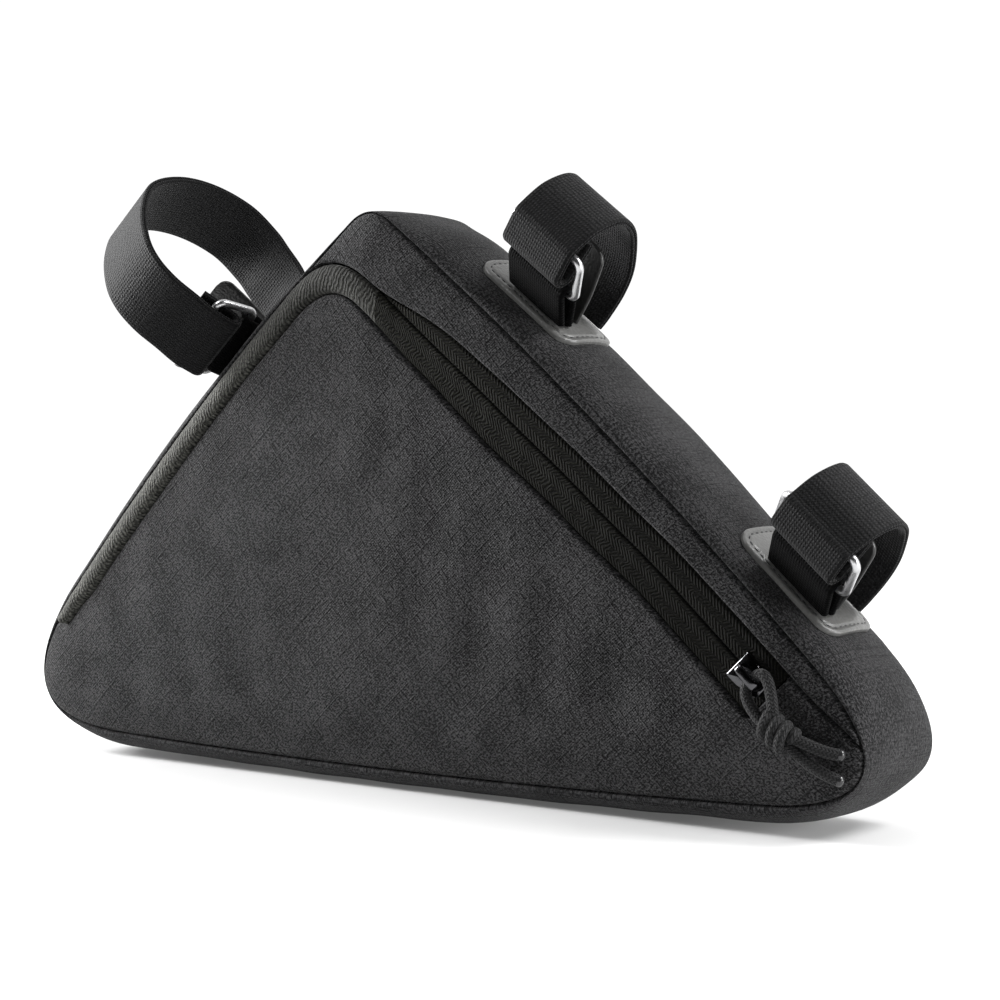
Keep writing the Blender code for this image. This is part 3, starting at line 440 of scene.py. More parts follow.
def inset_line(side, first, last, inset_of, count):
    """A line that keeps an inset from a side, between two shares along it."""
    along = np.linspace(first, last, count)
    point, _, normal = side_frame(side, along)
    return point - normal * inset_of(along)[:, None]


def eased_rows(x, rows, reach=0.016):
    """Straight steps from row to row, their corners rounded by a short running mean."""
    places, values = zip(*rows)
    return np.mean([np.interp(x + shift, places, values) for shift in np.linspace(-reach, reach, 9)], axis=0)


def slit_inset(along):
    return SLIT_INSET * blend_rows(along, SLIT_ROWS)


def flap_inset(along):
    return slit_inset(along) + TAPE_HALF * blend_rows(along, FLAP_ROWS)


def band_inset(along):
    return slit_inset(along) - TAPE_HALF * eased_rows(along, BAND_ROWS)


def bend(before, after):
    """A cubic turn from the end of one line to the start of the next, tangent to both."""
    p, q = before[-1], after[0]
    tp, tq = unit(before[-1] - before[-2]), unit(after[1] - after[0])
    reach = np.linalg.norm(q - p) * BEND_FULLNESS
    t = np.linspace(0, 1, 33)[1:-1, None]
    a, b = p + tp * reach, q - tq * reach
    return (1 - t) ** 3 * p + 3 * t * (1 - t) ** 2 * a + 3 * t * t * (1 - t) * b + t ** 3 * q


def inward(line):
    """Unit directions to the right of a line, which is the inside for a clockwise one."""
    return -left_of(unit(np.gradient(line, axis=0)))


def at_same_shares(line, like):
    """The line with points at the same shares of its length as another line's."""
    own, other = run_of(line), run_of(like)
    return rows_at(other / other[-1] * own[-1], own, line)


def arc(centre, radius, start, end, count):
    """Points on a circle in (across, up), from one angle to another, in degrees."""
    angle = np.radians(np.linspace(start, end, count))
    return np.asarray(centre) + radius * np.stack([np.cos(angle), np.sin(angle)], axis=-1)


def fold(distance, radius=FOLD):
    """Drop of a folded edge: a quarter circle from the flat down to the rim."""
    return -(radius - np.sqrt(np.maximum(0, radius ** 2 - np.maximum(0, radius - distance) ** 2)))


def drift(a, b, seed):
    """Slow unevenness of cloth: a sum of six sine waves of 18 to 70 mm in fixed directions."""
    rng = np.random.default_rng(seed)
    total = 0.0
    for _ in range(6):
        angle, wave, phase = rng.uniform(0, math.pi), rng.uniform(0.018, 0.070), rng.uniform(0, 6.28)
        total = total + np.sin(6.28 * (a * math.cos(angle) + b * math.sin(angle)) / wave + phase)
    return total / 6


def pucker(run, distance, seed, reach=0.0045):
    """Gathers at a sewn edge: waves of 7 to 13 mm along it that die away from it."""
    rng = np.random.default_rng(seed)
    total = 0.0
    for _ in range(4):
        wave, phase = rng.uniform(0.007, 0.013), rng.uniform(0, 6.28)
        total = total + np.sin(6.28 * run / wave + phase + 1.5 * np.sin(6.28 * run / 0.061 + phase))
    return total / 4 * np.exp(-distance / reach)


# Meshes

def squares(index):
    """Quads over a grid of numbers."""
    return np.stack([index[:-1, :-1], index[:-1, 1:], index[1:, 1:], index[1:, :-1]], axis=-1).reshape(-1, 4)


def carried(name, rings, uv, finish, slot, closed=False, replaces=(), crease=50):
    """A closed section carried along a line.

    rings[i, j] is point j of section i, and uv[i, j] is its pattern place in metres.
    """
    rows, n, _ = rings.shape
    if uv.shape[1] == n:
        uv = np.concatenate([uv, uv[:, :1]], axis=1)
    if closed and uv.shape[0] == rows:
        uv = np.concatenate([uv, uv[:1]], axis=0)
    r, c = np.arange(rows + closed), np.arange(n + 1)
    faces = [squares((r % rows)[:, None] * n + c % n)]
    marks = [squares(r[:, None] * (n + 1) + c)]
    if not closed:
        j = np.arange(n // 2 - 1)
        cap = np.stack([j, j + 1, n - 2 - j, n - 1 - j], axis=-1)
        for row in (0, rows - 1):
            faces.append(row * n + cap)
            marks.append(row * (n + 1) + cap)
    return make_piece(name, rings.reshape(-1, 3), np.vstack(faces), uv.reshape(-1, 2)[np.vstack(marks)],
                      finish, replaces, crease)


def make_piece(name, points, faces, corner_uv, finish, replaces=(), crease=50):
    """A mesh from arrays, merged and turned outward, that rides on the part."""
    mesh = bpy.data.meshes.new(name)
    mesh.from_pydata(np.asarray(points, float).tolist(), [], np.asarray(faces).tolist())
    layer = mesh.uv_layers.new(name="pattern")
    layer.data.foreach_set("uv", np.asarray(corner_uv, np.float32).ravel())
    bm = bmesh.new()
    bm.from_mesh(mesh)
    bmesh.ops.remove_doubles(bm, verts=bm.verts, dist=2e-6)
    bmesh.ops.dissolve_degenerate(bm, edges=bm.edges, dist=1e-7)
    bmesh.ops.recalc_face_normals(bm, faces=bm.faces)
    bm.to_mesh(mesh)
    bm.free()
    mesh.shade_smooth()
    mesh.set_sharp_from_angle(angle=math.radians(crease))
    mesh.materials.append(finish)
    piece = bpy.data.objects.new(name, mesh)
    bpy.context.scene.collection.objects.link(piece)
    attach(piece, "root")
    if replaces:
        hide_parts(*replaces)
    return piece


def shell(name, outer, inner, uv, finish, slot, **more):
    """A wall of cloth between two grids: a row's outer points and its inner ones make one section."""
    rings = np.concatenate([outer, inner[:, ::-1]], axis=1)
    return carried(name, rings, np.concatenate([uv, uv[:, ::-1]], axis=1), finish, slot, **more)


def even_angles(count):
    return np.linspace(0, 2 * math.pi, count, endpoint=False)


def circles(path, radius, angle, first, second):
    """Circles about the points of a path, each in the plane of its two directions."""
    cos, sin = np.cos(angle)[:, None], np.sin(angle)[:, None]
    return path[:, None, :] + radius * (cos * first[:, None, :] + sin * second[:, None, :])


def transported(path):
    """Directions square to a path that turn with it as little as they can, the first towards -Y."""
    tangent = unit(np.gradient(path, axis=0))
    side = np.array((0.0, -1.0, 0.0))
    sides = []
    for t in tangent:
        side = unit(side - t * (side @ t))
        sides.append(side)
    return tangent, np.array(sides)


def tube(name, path, radius, sides, finish, slot, **more):
    """A round cord along a path: circles square to it."""
    tangent, side = transported(path)
    radius = np.broadcast_to(radius, len(path))[:, None, None]
    rings = circles(path, radius, even_angles(sides), side, np.cross(tangent, side))
    uv = crossed(run_of(path), np.linspace(0, math.pi * CORD_DIAMETER, sides + 1))
    return carried(name, rings, uv, finish, slot, **more)


def hoop(name, path, radius, sides, side_axis, finish, slot, **more):
    """A wire bent into a closed loop: side_axis is square to the plane of the loop."""
    angle = even_angles(sides)
    outward = np.cross(closed_direction(path), side_axis)
    rings = circles(path, radius, angle, outward, np.broadcast_to(side_axis, path.shape))
    uv = crossed(run_of(np.vstack([path, path[:1]])), angle * radius)
    return carried(name, rings, uv, finish, slot, closed=True, **more)


def stitches(name, path, up, finish):
    """Stitches round a closed line: one short rounded thread, copied along it by whole arrays."""
    path, up = np.vstack([path, path[:1]]), np.vstack([up, up[:1]])
    run = run_of(path)
    count = int(run[-1] // STITCH_PITCH)
    at = (np.arange(count) + 0.5) * run[-1] / count
    step = 0.3 * STITCH_PITCH
    tangent = unit(rows_at(at + step, run, path) - rows_at(at - step, run, path))
    side = unit(np.cross(tangent, unit(rows_at(at, run, up))))
    rise = np.cross(side, tangent)
    # Five rings of six points: their place, width and drop along one stitch
    share = np.array([-1.0, -0.72, 0.0, 0.72, 1.0])[:, None] * STITCH_LENGTH / 2
    slim = np.array([0.18, 0.80, 1.0, 0.80, 0.18])[:, None] * STITCH_THICK / 2
    sink = np.array([-0.55, -0.10, 0.10, -0.10, -0.55])[:, None] * STITCH_THICK
    height, width = sink + slim * np.sin(even_angles(6)), slim * np.cos(even_angles(6))
    spots = rows_at(at, run, path)[:, None, None, :]
    for direction, offset in ((tangent, share), (rise, height), (side, width)):
        spots = spots + direction[:, None, None, :] * offset[None, :, :, None]
    ring = np.arange(30).reshape(5, 6)
    ring = np.hstack([ring, ring[:, :1]])
    caps = np.array([[0, 1, 2, 3], [0, 3, 4, 5], [24, 27, 26, 25], [24, 29, 28, 27]])
    one = np.vstack([squares(ring), caps])
    faces = (np.arange(count)[:, None, None] * 30 + one[None]).reshape(-1, 4)
    return make_piece(name, spots.reshape(-1, 3), faces, np.zeros((len(faces) * 4, 2)), finish)


# Finishes

class Finish:
    """A material being put together: short calls that add one node each and link it."""

    def __init__(self, name, roughness, metallic=0.0, specular=0.5, sheen=0.0, sheen_roughness=0.5):
        self.material = bpy.data.materials.new(name)
        self.material.use_nodes = True
        self.tree = self.material.node_tree
        self.shader = self.tree.nodes["Principled BSDF"]
        self.set(self.shader.inputs["Roughness"], roughness)
        self.shader.inputs["Metallic"].default_value = metallic
        self.shader.inputs["Specular IOR Level"].default_value = specular
        self.shader.inputs["Sheen Weight"].default_value = sheen
        self.shader.inputs["Sheen Roughness"].default_value = sheen_roughness
        self.place = self.tree.nodes.new("ShaderNodeTexCoord")

    def set(self, socket, value):
        if isinstance(value, bpy.types.NodeSocket):
            self.tree.links.new(value, socket)
        else:
            socket.default_value = value

    def maths(self, operation, a, b=0.0, c=0.0):
        node = self.tree.nodes.new("ShaderNodeMath")
        node.operation = operation
        for socket, value in zip(node.inputs, (a, b, c)):
            self.set(socket, value)
        return node.outputs[0]

    def pattern(self, scale=(1.0, 1.0, 1.0), turn=0.0, source="UV"):
        node = self.tree.nodes.new("ShaderNodeMapping")
        node.inputs["Scale"].default_value = scale
        node.inputs["Rotation"].default_value = (0.0, 0.0, turn)
        self.set(node.inputs["Vector"], self.place.outputs[source])
        return node.outputs[0]

    def parts(self, vector):
        node = self.tree.nodes.new("ShaderNodeSeparateXYZ")
        self.set(node.inputs[0], vector)
        return node.outputs[0], node.outputs[1], node.outputs[2]

    def noise(self, vector, scale, detail=2.0, roughness=0.5):
        node = self.tree.nodes.new("ShaderNodeTexNoise")
        node.inputs["Scale"].default_value = scale
        node.inputs["Detail"].default_value = detail
        node.inputs["Roughness"].default_value = roughness
        self.set(node.inputs["Vector"], vector)
        return node.outputs["Fac"]

    def cells(self, vector, scale):
        node = self.tree.nodes.new("ShaderNodeTexVoronoi")
        node.feature = "SMOOTH_F1"
        node.inputs["Scale"].default_value = scale
        self.set(node.inputs["Vector"], vector)
        return node.outputs["Distance"]

    def spread(self, value, low, high, to_low=0.0, to_high=1.0):
        node = self.tree.nodes.new("ShaderNodeMapRange")
        for socket, number in zip(node.inputs, (value, low, high, to_low, to_high)):
            self.set(socket, number)
        return node.outputs[0]

    def mix(self, share, a, b):
        node = self.tree.nodes.new("ShaderNodeMix")
        node.data_type = "RGBA"
        colours = [socket for socket in node.inputs if socket.type == "RGBA"]
        self.set(node.inputs[0], share)
        self.set(colours[0], a if isinstance(a, bpy.types.NodeSocket) else (*a, 1.0))
        self.set(colours[1], b if isinstance(b, bpy.types.NodeSocket) else (*b, 1.0))
        return next(socket for socket in node.outputs if socket.type == "RGBA")

    def waves(self, value, pitch):
        """A sine of a length in metres, one wave for each pitch, from 0 to 1."""
        angle = self.maths("MULTIPLY", value, 2 * math.pi / pitch)
        return self.maths("MULTIPLY_ADD", self.maths("SINE", angle), 0.5, 0.5)

    def colour(self, value):
        self.set(self.shader.inputs["Base Color"], value)

    def relief(self, height, strength, distance):
        node = self.tree.nodes.new("ShaderNodeBump")
        node.inputs["Strength"].default_value = strength
        node.inputs["Distance"].default_value = distance
        self.set(node.inputs["Height"], height)
        self.set(self.shader.inputs["Normal"], node.outputs[0])


def melange_cloth(name, dark, light, turn):
    """Black melange ripstop: fine weave, grey flecks, and a grid of heavier threads every 5 mm."""
    f = Finish(name, 0.85, specular=0.13, sheen=0.07, sheen_roughness=0.45)
    u, v, _ = f.parts(f.pattern(turn=turn))
    flecks = f.noise(f.pattern(scale=(1.0, 1.4, 1.0), turn=turn), 1150, 3.0, 0.75)
    patches = f.noise(f.pattern(), 75, 3.0, 0.5)
    share = f.spread(f.maths("MULTIPLY_ADD", patches, 0.16, flecks), 0.550, 0.640)
    weave = f.maths("MULTIPLY", f.waves(u, 0.00075), f.waves(v, 0.00075))
    rip_u = f.maths("POWER", f.waves(u, 0.0047), 34.0)
    rip_v = f.maths("POWER", f.waves(v, 0.0047), 34.0)
    broken = f.spread(f.noise(f.pattern(), 260, 1.0), 0.40, 0.60)
    rips = f.maths("MULTIPLY", f.maths("MAXIMUM", rip_u, rip_v), broken)
    base = f.mix(share, dark, light)
    f.colour(f.mix(f.maths("MULTIPLY", rips, 0.75), base, dark))
    height = f.maths("MULTIPLY_ADD", rips, 1.6, f.maths("MULTIPLY_ADD", flecks, 1.4, weave))
    f.relief(height, 0.6, 0.00022)
    return f.material


def herringbone_tape(name, dark, light):
    """Zip tape: uneven zigzag twill in rows 2.4 mm wide, with painted light that makes it paler higher up,
    towards the apex.
    """
    f = Finish(name, 0.85, specular=0.08, sheen=0.02)
    u, v, _ = f.parts(f.pattern())
    warp = f.maths("MULTIPLY", f.noise(f.pattern(), 330, 2.0), 0.0022)
    zigzag = f.maths("PINGPONG", f.maths("MULTIPLY_ADD", warp, 0.5, v), 0.0024)
    twill = f.waves(f.maths("ADD", f.maths("MULTIPLY_ADD", zigzag, 1.2, u), warp), 0.00145)
    grain = f.noise(f.pattern(), 1500, 2.0, 0.7)
    # Painted light: the tape's colour grows paler with height, from 40 % at 75 mm to full at 165 mm, as if
    # its top were lit more.
    height = f.parts(f.pattern(source="Object"))[2]
    paler = f.spread(height, 0.075, 0.165, 0.40, 1.0)
    share = f.maths("MULTIPLY", f.maths("MULTIPLY", twill, f.spread(grain, 0.35, 0.62)), paler)
    f.colour(f.mix(share, dark, light))
    f.relief(f.maths("MULTIPLY_ADD", grain, 0.6, twill), 0.8, 0.00035)
    return f.material


def ribbed_roll(name, dark, light):
    """Rolled edge of the tape: close ribs across it, darker towards the apex, where the flat tape starts."""
    f = Finish(name, 0.8, specular=0.16, sheen=0.08)
    u, v, _ = f.parts(f.pattern())
    warp = f.maths("MULTIPLY", f.noise(f.pattern(), 280, 3.0), 0.004)
    ribs = f.waves(f.maths("ADD", f.maths("MULTIPLY_ADD", v, 0.45, u), warp), 0.0016)
    grain = f.noise(f.pattern(), 1200, 3.0, 0.7)
    height = f.parts(f.pattern(source="Object"))[2]
    paler = f.spread(height, 0.125, 0.168, 1.0, 0.26)
    share = f.maths("MULTIPLY", f.maths("MULTIPLY_ADD", ribs, 0.7, 0.3), f.spread(grain, 0.38, 0.62))
    f.colour(f.mix(f.maths("MULTIPLY", share, paler), dark, light))
    f.relief(f.maths("MULTIPLY_ADD", grain, 1.0, ribs), 0.7, 0.0003)
    return f.material


def strap_webbing(name, dark, light, gloss=1.0):
    """Close webbing: an uneven weave about 1 mm across, dark at its edges, with painted shade on its last 34
    mm at the ring lock.
    """
    f = Finish(name, 0.75, specular=0.14 * gloss, sheen=0.06 * gloss, sheen_roughness=0.4)
    u, v, _ = f.parts(f.pattern())
    warp = f.maths("MULTIPLY", f.noise(f.pattern(), 500, 2.0), 0.0008)
    over = f.maths("MULTIPLY", f.waves(f.maths("ADD", u, warp), 0.0012), f.waves(v, 0.00095))
    grain = f.noise(f.pattern(), 1050, 3.0, 0.75)
    share = f.maths("MULTIPLY", f.maths("MULTIPLY_ADD", over, 0.6, 0.4), f.spread(grain, 0.40, 0.62))
    edge = f.spread(f.maths("ABSOLUTE", v), 0.0116, 0.0120, 1.0, 0.25)
    # Painted shade: the last 34 mm of the strap, at the ring lock under the loop, are darkened to 35 %.
    lock_painted_shade = f.spread(u, -0.042, -0.034, 1.0, 0.35)
    f.colour(f.mix(f.maths("MULTIPLY", f.maths("MULTIPLY", share, edge), lock_painted_shade), dark, light))
    f.relief(f.maths("MULTIPLY_ADD", grain, 1.0, over), 0.7, 0.0003)
    return f.material


def leatherette(name, dark, light):
    """Grey leatherette: pebble grain with paler, smoother high spots."""
    f = Finish(name, 0.36, specular=0.55)
    place = f.pattern()
    grain = f.cells(place, 1250)
    cloud = f.noise(place, 110, 4.0, 0.65)
    f.colour(f.mix(f.maths("MULTIPLY_ADD", grain, 0.35, f.maths("MULTIPLY", cloud, 0.8)), light, dark))
    f.set(f.shader.inputs["Roughness"], f.spread(cloud, 0.3, 0.7, 0.28, 0.46))
    f.relief(f.maths("MULTIPLY_ADD", cloud, 0.6, f.maths("MULTIPLY", grain, -1.0)), 0.45, 0.00028)
    return f.material


def braided_cord(name, dark, light):
    """Braided cord: rows of V stitches made by two crossing sets of slanted waves."""
    f = Finish(name, 0.7, specular=0.2, sheen=0.06)
    u, v, _ = f.parts(f.pattern())
    around = math.pi * CORD_DIAMETER
    zigzag = f.maths("PINGPONG", v, around / 16)
    strand = f.waves(f.maths("MULTIPLY_ADD", zigzag, 1.2, u), 0.00115)
    rows = f.waves(v, around / 8)
    braid = f.maths("MULTIPLY", strand, f.maths("MULTIPLY_ADD", rows, 0.6, 0.4))
    f.colour(f.mix(braid, dark, light))
    f.relief(braid, 0.9, 0.0004)
    return f.material


def metal(name, colour, roughness, worn):
    """Plated metal: a plain tint whose gloss is broken by fine scratches."""
    f = Finish(name, roughness, metallic=1.0)
    scratches = f.noise(f.pattern(scale=(1.0, 6.0, 1.0), source="Object"), 500, 3.0)
    f.colour(f.mix(scratches, colour, tuple(c * worn for c in colour)))
    f.set(f.shader.inputs["Roughness"], f.spread(scratches, 0.3, 0.7, roughness * 0.8, roughness * 1.25))
    f.relief(scratches, 0.05, 0.0001)
    return f.material


def thread(name, colour):
    f = Finish(name, 0.6, specular=0.4, sheen=0.2)
    twist = f.noise(f.pattern(source="Object"), 2600, 1.0)
    f.colour(f.mix(twist, colour, tuple(0.55 * c for c in colour)))
    return f.material


CLOTH_FACE = melange_cloth("melange_cloth_face", (0.0025, 0.0025, 0.0028), (0.050, 0.0494, 0.051), 0.85)
CLOTH_SIDE = melange_cloth("melange_cloth_side", (0.0040, 0.0040, 0.0044), (0.044, 0.0434, 0.045), 0.04)
TAPE = herringbone_tape("zip_tape_twill", (0.0012, 0.0012, 0.0009), (0.0240, 0.0240, 0.0180))
ROLL = ribbed_roll("rolled_tape_edge", (0.0040, 0.0040, 0.0033), (0.125, 0.125, 0.110))
WEBBING = strap_webbing("strap_webbing", (0.0030, 0.0030, 0.0033), (0.030, 0.030, 0.031))
# Painted shade: the base webbing is a darker copy of the strap webbing, for the shade under the loop and
# lock. It also has less specular and sheen.
BASE_WEBBING_PAINTED_SHADE = strap_webbing("base_webbing_painted_shade", (0.0010, 0.0010, 0.0011), (0.0090, 0.0090, 0.0095), gloss=0.25)
LEATHER = leatherette("patch_leatherette", (0.070, 0.070, 0.068), (0.155, 0.155, 0.150))
PAD_LEATHER = leatherette("pad_leatherette", (0.008, 0.008, 0.008), (0.022, 0.022, 0.0215))
CORD = braided_cord("pull_cord_braid", (0.0030, 0.0030, 0.0033), (0.028, 0.028, 0.029))
STEEL = metal("ring_steel", (0.62, 0.62, 0.63), 0.32, 0.85)
DARK_STEEL = metal("slider_black_nickel", (0.10, 0.10, 0.105), 0.16, 0.7)
THREAD = thread("dark_thread", (0.030, 0.030, 0.031))
MELTED = Finish("melted_cord_tip", 0.12).material
MELTED.node_tree.nodes["Principled BSDF"].inputs["Base Color"].default_value = (0.02, 0.02, 0.021, 1.0)


# Camera

def place_camera():
    camera = bpy.data.objects.new("photo_camera", bpy.data.cameras.new("photo_camera"))
    forward = Vector((-math.sin(CAMERA_TURN) * math.cos(CAMERA_TILT),
                      math.cos(CAMERA_TURN) * math.cos(CAMERA_TILT), -math.sin(CAMERA_TILT)))
    camera.location = Vector(CAMERA_TARGET) - forward * CAMERA_DISTANCE
    camera.rotation_mode = "QUATERNION"
    camera.rotation_quaternion = forward.to_track_quat("-Z", "Y")
    camera.data.lens = CAMERA_LENS
    camera.data.sensor_width = 36.0
    camera.data.clip_start = 0.02
    camera.data.clip_end = 20.0
    bpy.context.scene.collection.objects.link(camera)
    bpy.context.scene.camera = camera


# Cord pull

def slider_seat():
    """Middle of the slider's underside, and its directions along the zip, across it and up from it."""
    point, _, normal = side_frame("upper", np.array([SLIDER_SHARE - 0.01, SLIDER_SHARE + 0.01]))
    ends = on_front(point - normal * slit_inset(np.array([SLIDER_SHARE] * 2))[:, None], -TAPE_RECESS)
    spots = ends.mean(axis=0)[[0, 2]] + np.outer((-0.5, 0.5), normal[0]) * SLIDER_WIDTH
    sides = on_front(spots, -TAPE_RECESS)
    run = unit(ends[1] - ends[0])
    up = unit(np.cross(run, sides[1] - sides[0]))
    return sides.mean(axis=0) + up * SLIDER_SEAT, run, np.cross(up, run), up


def cord_pull():
    """Two free cords from under the bridge, the knot that they pass through, and their melted tips.

    The knot is a helix with an elliptic section, drawn in at both ends and turned in the XZ plane.
    """
    seat = slider_seat()[0]
    share = np.linspace(-1, 1, 260)
    turn = math.pi * KNOT_TURNS * (share + 1) - KNOT_PHASE
    tuck = 1 - 0.75 * np.clip((np.abs(share) - 0.86) / 0.14, 0, 1) ** 2
    along = share / 2 * KNOT_TURNS * KNOT_PITCH - KNOT_SLANT * np.cos(turn) * tuck
    aside = KNOT_RADII[0] * np.cos(turn) * tuck
    cos, sin = math.cos(KNOT_TURN), math.sin(KNOT_TURN)
    path = np.stack([along * cos - aside * sin, -KNOT_RADII[1] * np.sin(turn) * tuck,
                     along * sin + aside * cos], axis=-1) + seat + MM * np.array(KNOT_PLACE)
    knot = tube("cord_knot", resampled(path, 220), CORD_DIAMETER / 2 * KNOT_CORD, 20, CORD, "pull_cord",
                replaces=["pull_knot"])
    routes = (
        ("cord_lower", CORD_LOWER_ROUTE, ("pull_leg_lower", "pull_tail_lower"), [knot]),
        ("cord_upper", CORD_UPPER_ROUTE, ("pull_leg_upper", "pull_tail_upper"), []),
    )
    for name, route, nodes, pieces in routes:
        line = resampled(smooth_through(seat + MM * np.array(route), 12), 150)
        made = tube(name, line, CORD_DIAMETER / 2, 20, CORD, "pull_cord", replaces=nodes)
        end, ahead = line[-1], unit(line[-1] - line[-3])
        swell = np.linspace(0, 1, 9)
        tip_line = end + ahead * (swell * TIP_LENGTH - TIP_OVERLAP)[:, None]
        tip_radius = CORD_DIAMETER / 2 * np.sqrt(np.maximum(0.02, 1.06 - swell ** 3))
        tip = tube(f"{name}_tip", tip_line, tip_radius, 16, MELTED, "pull_cord")


# Bag shell

def gusset():
    """The crowned band round the bag: half an ellipse across, its edges turned in to the seams.

    Its columns are closer together at both edges, and its bottom is flat where it would pass the floor.
    """
    points, normals, crowns = SEAM
    share = np.linspace(-1, 1, GUSSET_COLUMNS)
    angle = math.pi / 2 * (1.35 * share - 0.35 * share ** 3)
    run = run_of(np.vstack([points, points[:1]]))
    along = run[:-1, None]
    rise = crowns[:, None] * np.cos(angle)
    reach = DEPTH / 2 * np.sin(angle)
    edge = np.hypot(DEPTH / 2 - np.abs(reach), rise)
    settle = 1 - np.exp(-edge / 0.003)
    waves = GUSSET_DRIFT * drift(along, reach[None, :], 3) + SEAM_PUCKER * pucker(along, edge, 7, 0.005)
    turned_in = fold(edge)
    walls = []
    for inset, clear, floor in ((0.0, 0.0, GUSSET_FLOOR), (CLOTH, 0.0004, CLOTH)):
        spot = points[:, None, :] + normals[:, None, :] * (rise + waves * settle - inset)[..., None]
        y = np.maximum(0, np.abs(reach) - np.maximum(inset, -turned_in)) - clear
        z = spot[..., 1] - floor
        z = floor + 0.5 * (z + np.hypot(z, FLOOR_SOFTNESS)) - 0.00001
        walls.append(np.stack([spot[..., 0], np.sign(reach) * y, z], axis=-1))
    bulge = 0.3 * SIDES["upper"][3] * np.cos(angle)
    across = run_of(np.stack([reach, bulge], axis=-1))
    return shell("gusset_cloth", *walls, crossed(run, across), CLOTH_SIDE, "bag_cloth", closed=True,
                 replaces=["gusset"])


def disc(rim, rings):
    """A grid of places from a closed rim in to the origin, closer together at the rim."""
    share = np.linspace(0, 1, rings) ** 1.7
    return rim[:, None, :] * (1 - share)[None, :, None]


def evened(rim):
    """A closed line with close, even points that keeps its sharp corners."""
    step = unit(np.roll(rim, -1, axis=0) - rim)
    turn = np.abs((left_of(np.roll(step, 1, axis=0)) * step).sum(-1))
    corners = np.flatnonzero(turn > RIM_CORNER_SINE)
    loop = np.roll(rim, -corners[0] if len(corners) else 0, axis=0)
    loop = np.vstack([loop, loop[:1]])
    marks = np.append(corners - corners[0] if len(corners) else [0], len(rim))
    runs = []
    for first, last in zip(marks[:-1], marks[1:]):
        stretch = loop[first:last + 1]
        runs.append(resampled(stretch, max(3, int(round(run_of(stretch)[-1] / RIM_STEP)) + 1))[:-1])
    return np.vstack(runs)


def inside(xz, loop):
    """Which points lie inside a closed line: an odd number of its stretches pass above them."""
    flat = np.asarray(xz).reshape(-1, 2)
    start, end = loop, np.roll(loop, -1, axis=0)
    found = []
    for chunk in np.array_split(flat, max(1, len(flat) // 4000)):
        x, z = chunk[:, None, 0], chunk[:, None, 1]
        spans = (start[:, 0] > x) != (end[:, 0] > x)
        run = np.where(end[:, 0] == start[:, 0], 1e-12, end[:, 0] - start[:, 0])
        height = start[:, 1] + (x - start[:, 0]) / run * (end[:, 1] - start[:, 1])
        found.append((spans & (z < height)).sum(-1) % 2 == 1)
    return np.concatenate(found).reshape(np.shape(xz)[:-1])


def settled(xz, rim, place, outward):
    """Lift of a cloth panel a little slack between its seams, from a short cloth simulation.

    A coarse square grid of it, held near the rim, is read back as a smooth field between its points.
    """
    low, high = rim.min(axis=0), rim.max(axis=0)
    xs, zs = (np.arange(low[k] - SETTLE_STEP, high[k] + 2 * SETTLE_STEP, SETTLE_STEP) for k in (0, 1))
    spots = np.stack(np.meshgrid(xs, zs, indexing="ij"), axis=-1)
    kept = inside(spots, rim)
    held = kept & (distance_to(spots, rim) < 1.3 * SETTLE_STEP)
    number = np.where(kept, np.cumsum(kept).reshape(kept.shape) - 1, -1)
    faces = squares(number)
    rest = place(spots, np.zeros(kept.shape))[kept]
    mesh = bpy.data.meshes.new("settling_cloth")
    mesh.from_pydata(rest.tolist(), [], faces[(faces >= 0).all(axis=1)].tolist())
    sheet = bpy.data.objects.new("settling_cloth", mesh)
    bpy.context.scene.collection.objects.link(sheet)
    sheet.vertex_groups.new(name="seam").add(number[held].tolist(), 1.0, "REPLACE")
    cloth = sheet.modifiers.new("cloth", "CLOTH")
    cloth.settings.vertex_group_mass = "seam"
    cloth.settings.quality = 8
    cloth.settings.bending_stiffness = 2.0
    cloth.settings.shrink_min = -0.002
    cloth.settings.use_pressure = True
    cloth.settings.uniform_pressure_force = SETTLE_PRESSURE * outward
    cloth.point_cache.frame_start = 1
    cloth.point_cache.frame_end = SETTLE_FRAMES
    for step in range(1, SETTLE_FRAMES + 1):
        bpy.context.scene.frame_set(step)
    shaped = sheet.evaluated_get(bpy.context.evaluated_depsgraph_get()).to_mesh()
    moved = np.empty(len(rest) * 3, np.float32)
    shaped.vertices.foreach_get("co", moved)
    bpy.context.scene.frame_set(1)
    bpy.data.objects.remove(sheet, do_unlink=True)
    bpy.data.meshes.remove(mesh)
    lift = np.zeros(kept.shape)
    lift[kept] = np.clip((moved.reshape(-1, 3)[:, 1] - rest[:, 1]) * outward, -SETTLE_MOST, SETTLE_MOST)
    lift = (lift + sum(np.roll(lift, step, axis) for step in (1, -1) for axis in (0, 1))) / 5
    spot = (xz - (xs[0], zs[0])) / SETTLE_STEP
    i, j = spot.astype(int).T
    u, v = (spot % 1).T
    u, v = u * u * (3 - 2 * u), v * v * (3 - 2 * v)
    return ((lift[i, j] * (1 - u) + lift[i + 1, j] * u) * (1 - v)
            + (lift[i, j + 1] * (1 - u) + lift[i + 1, j + 1] * u) * v)


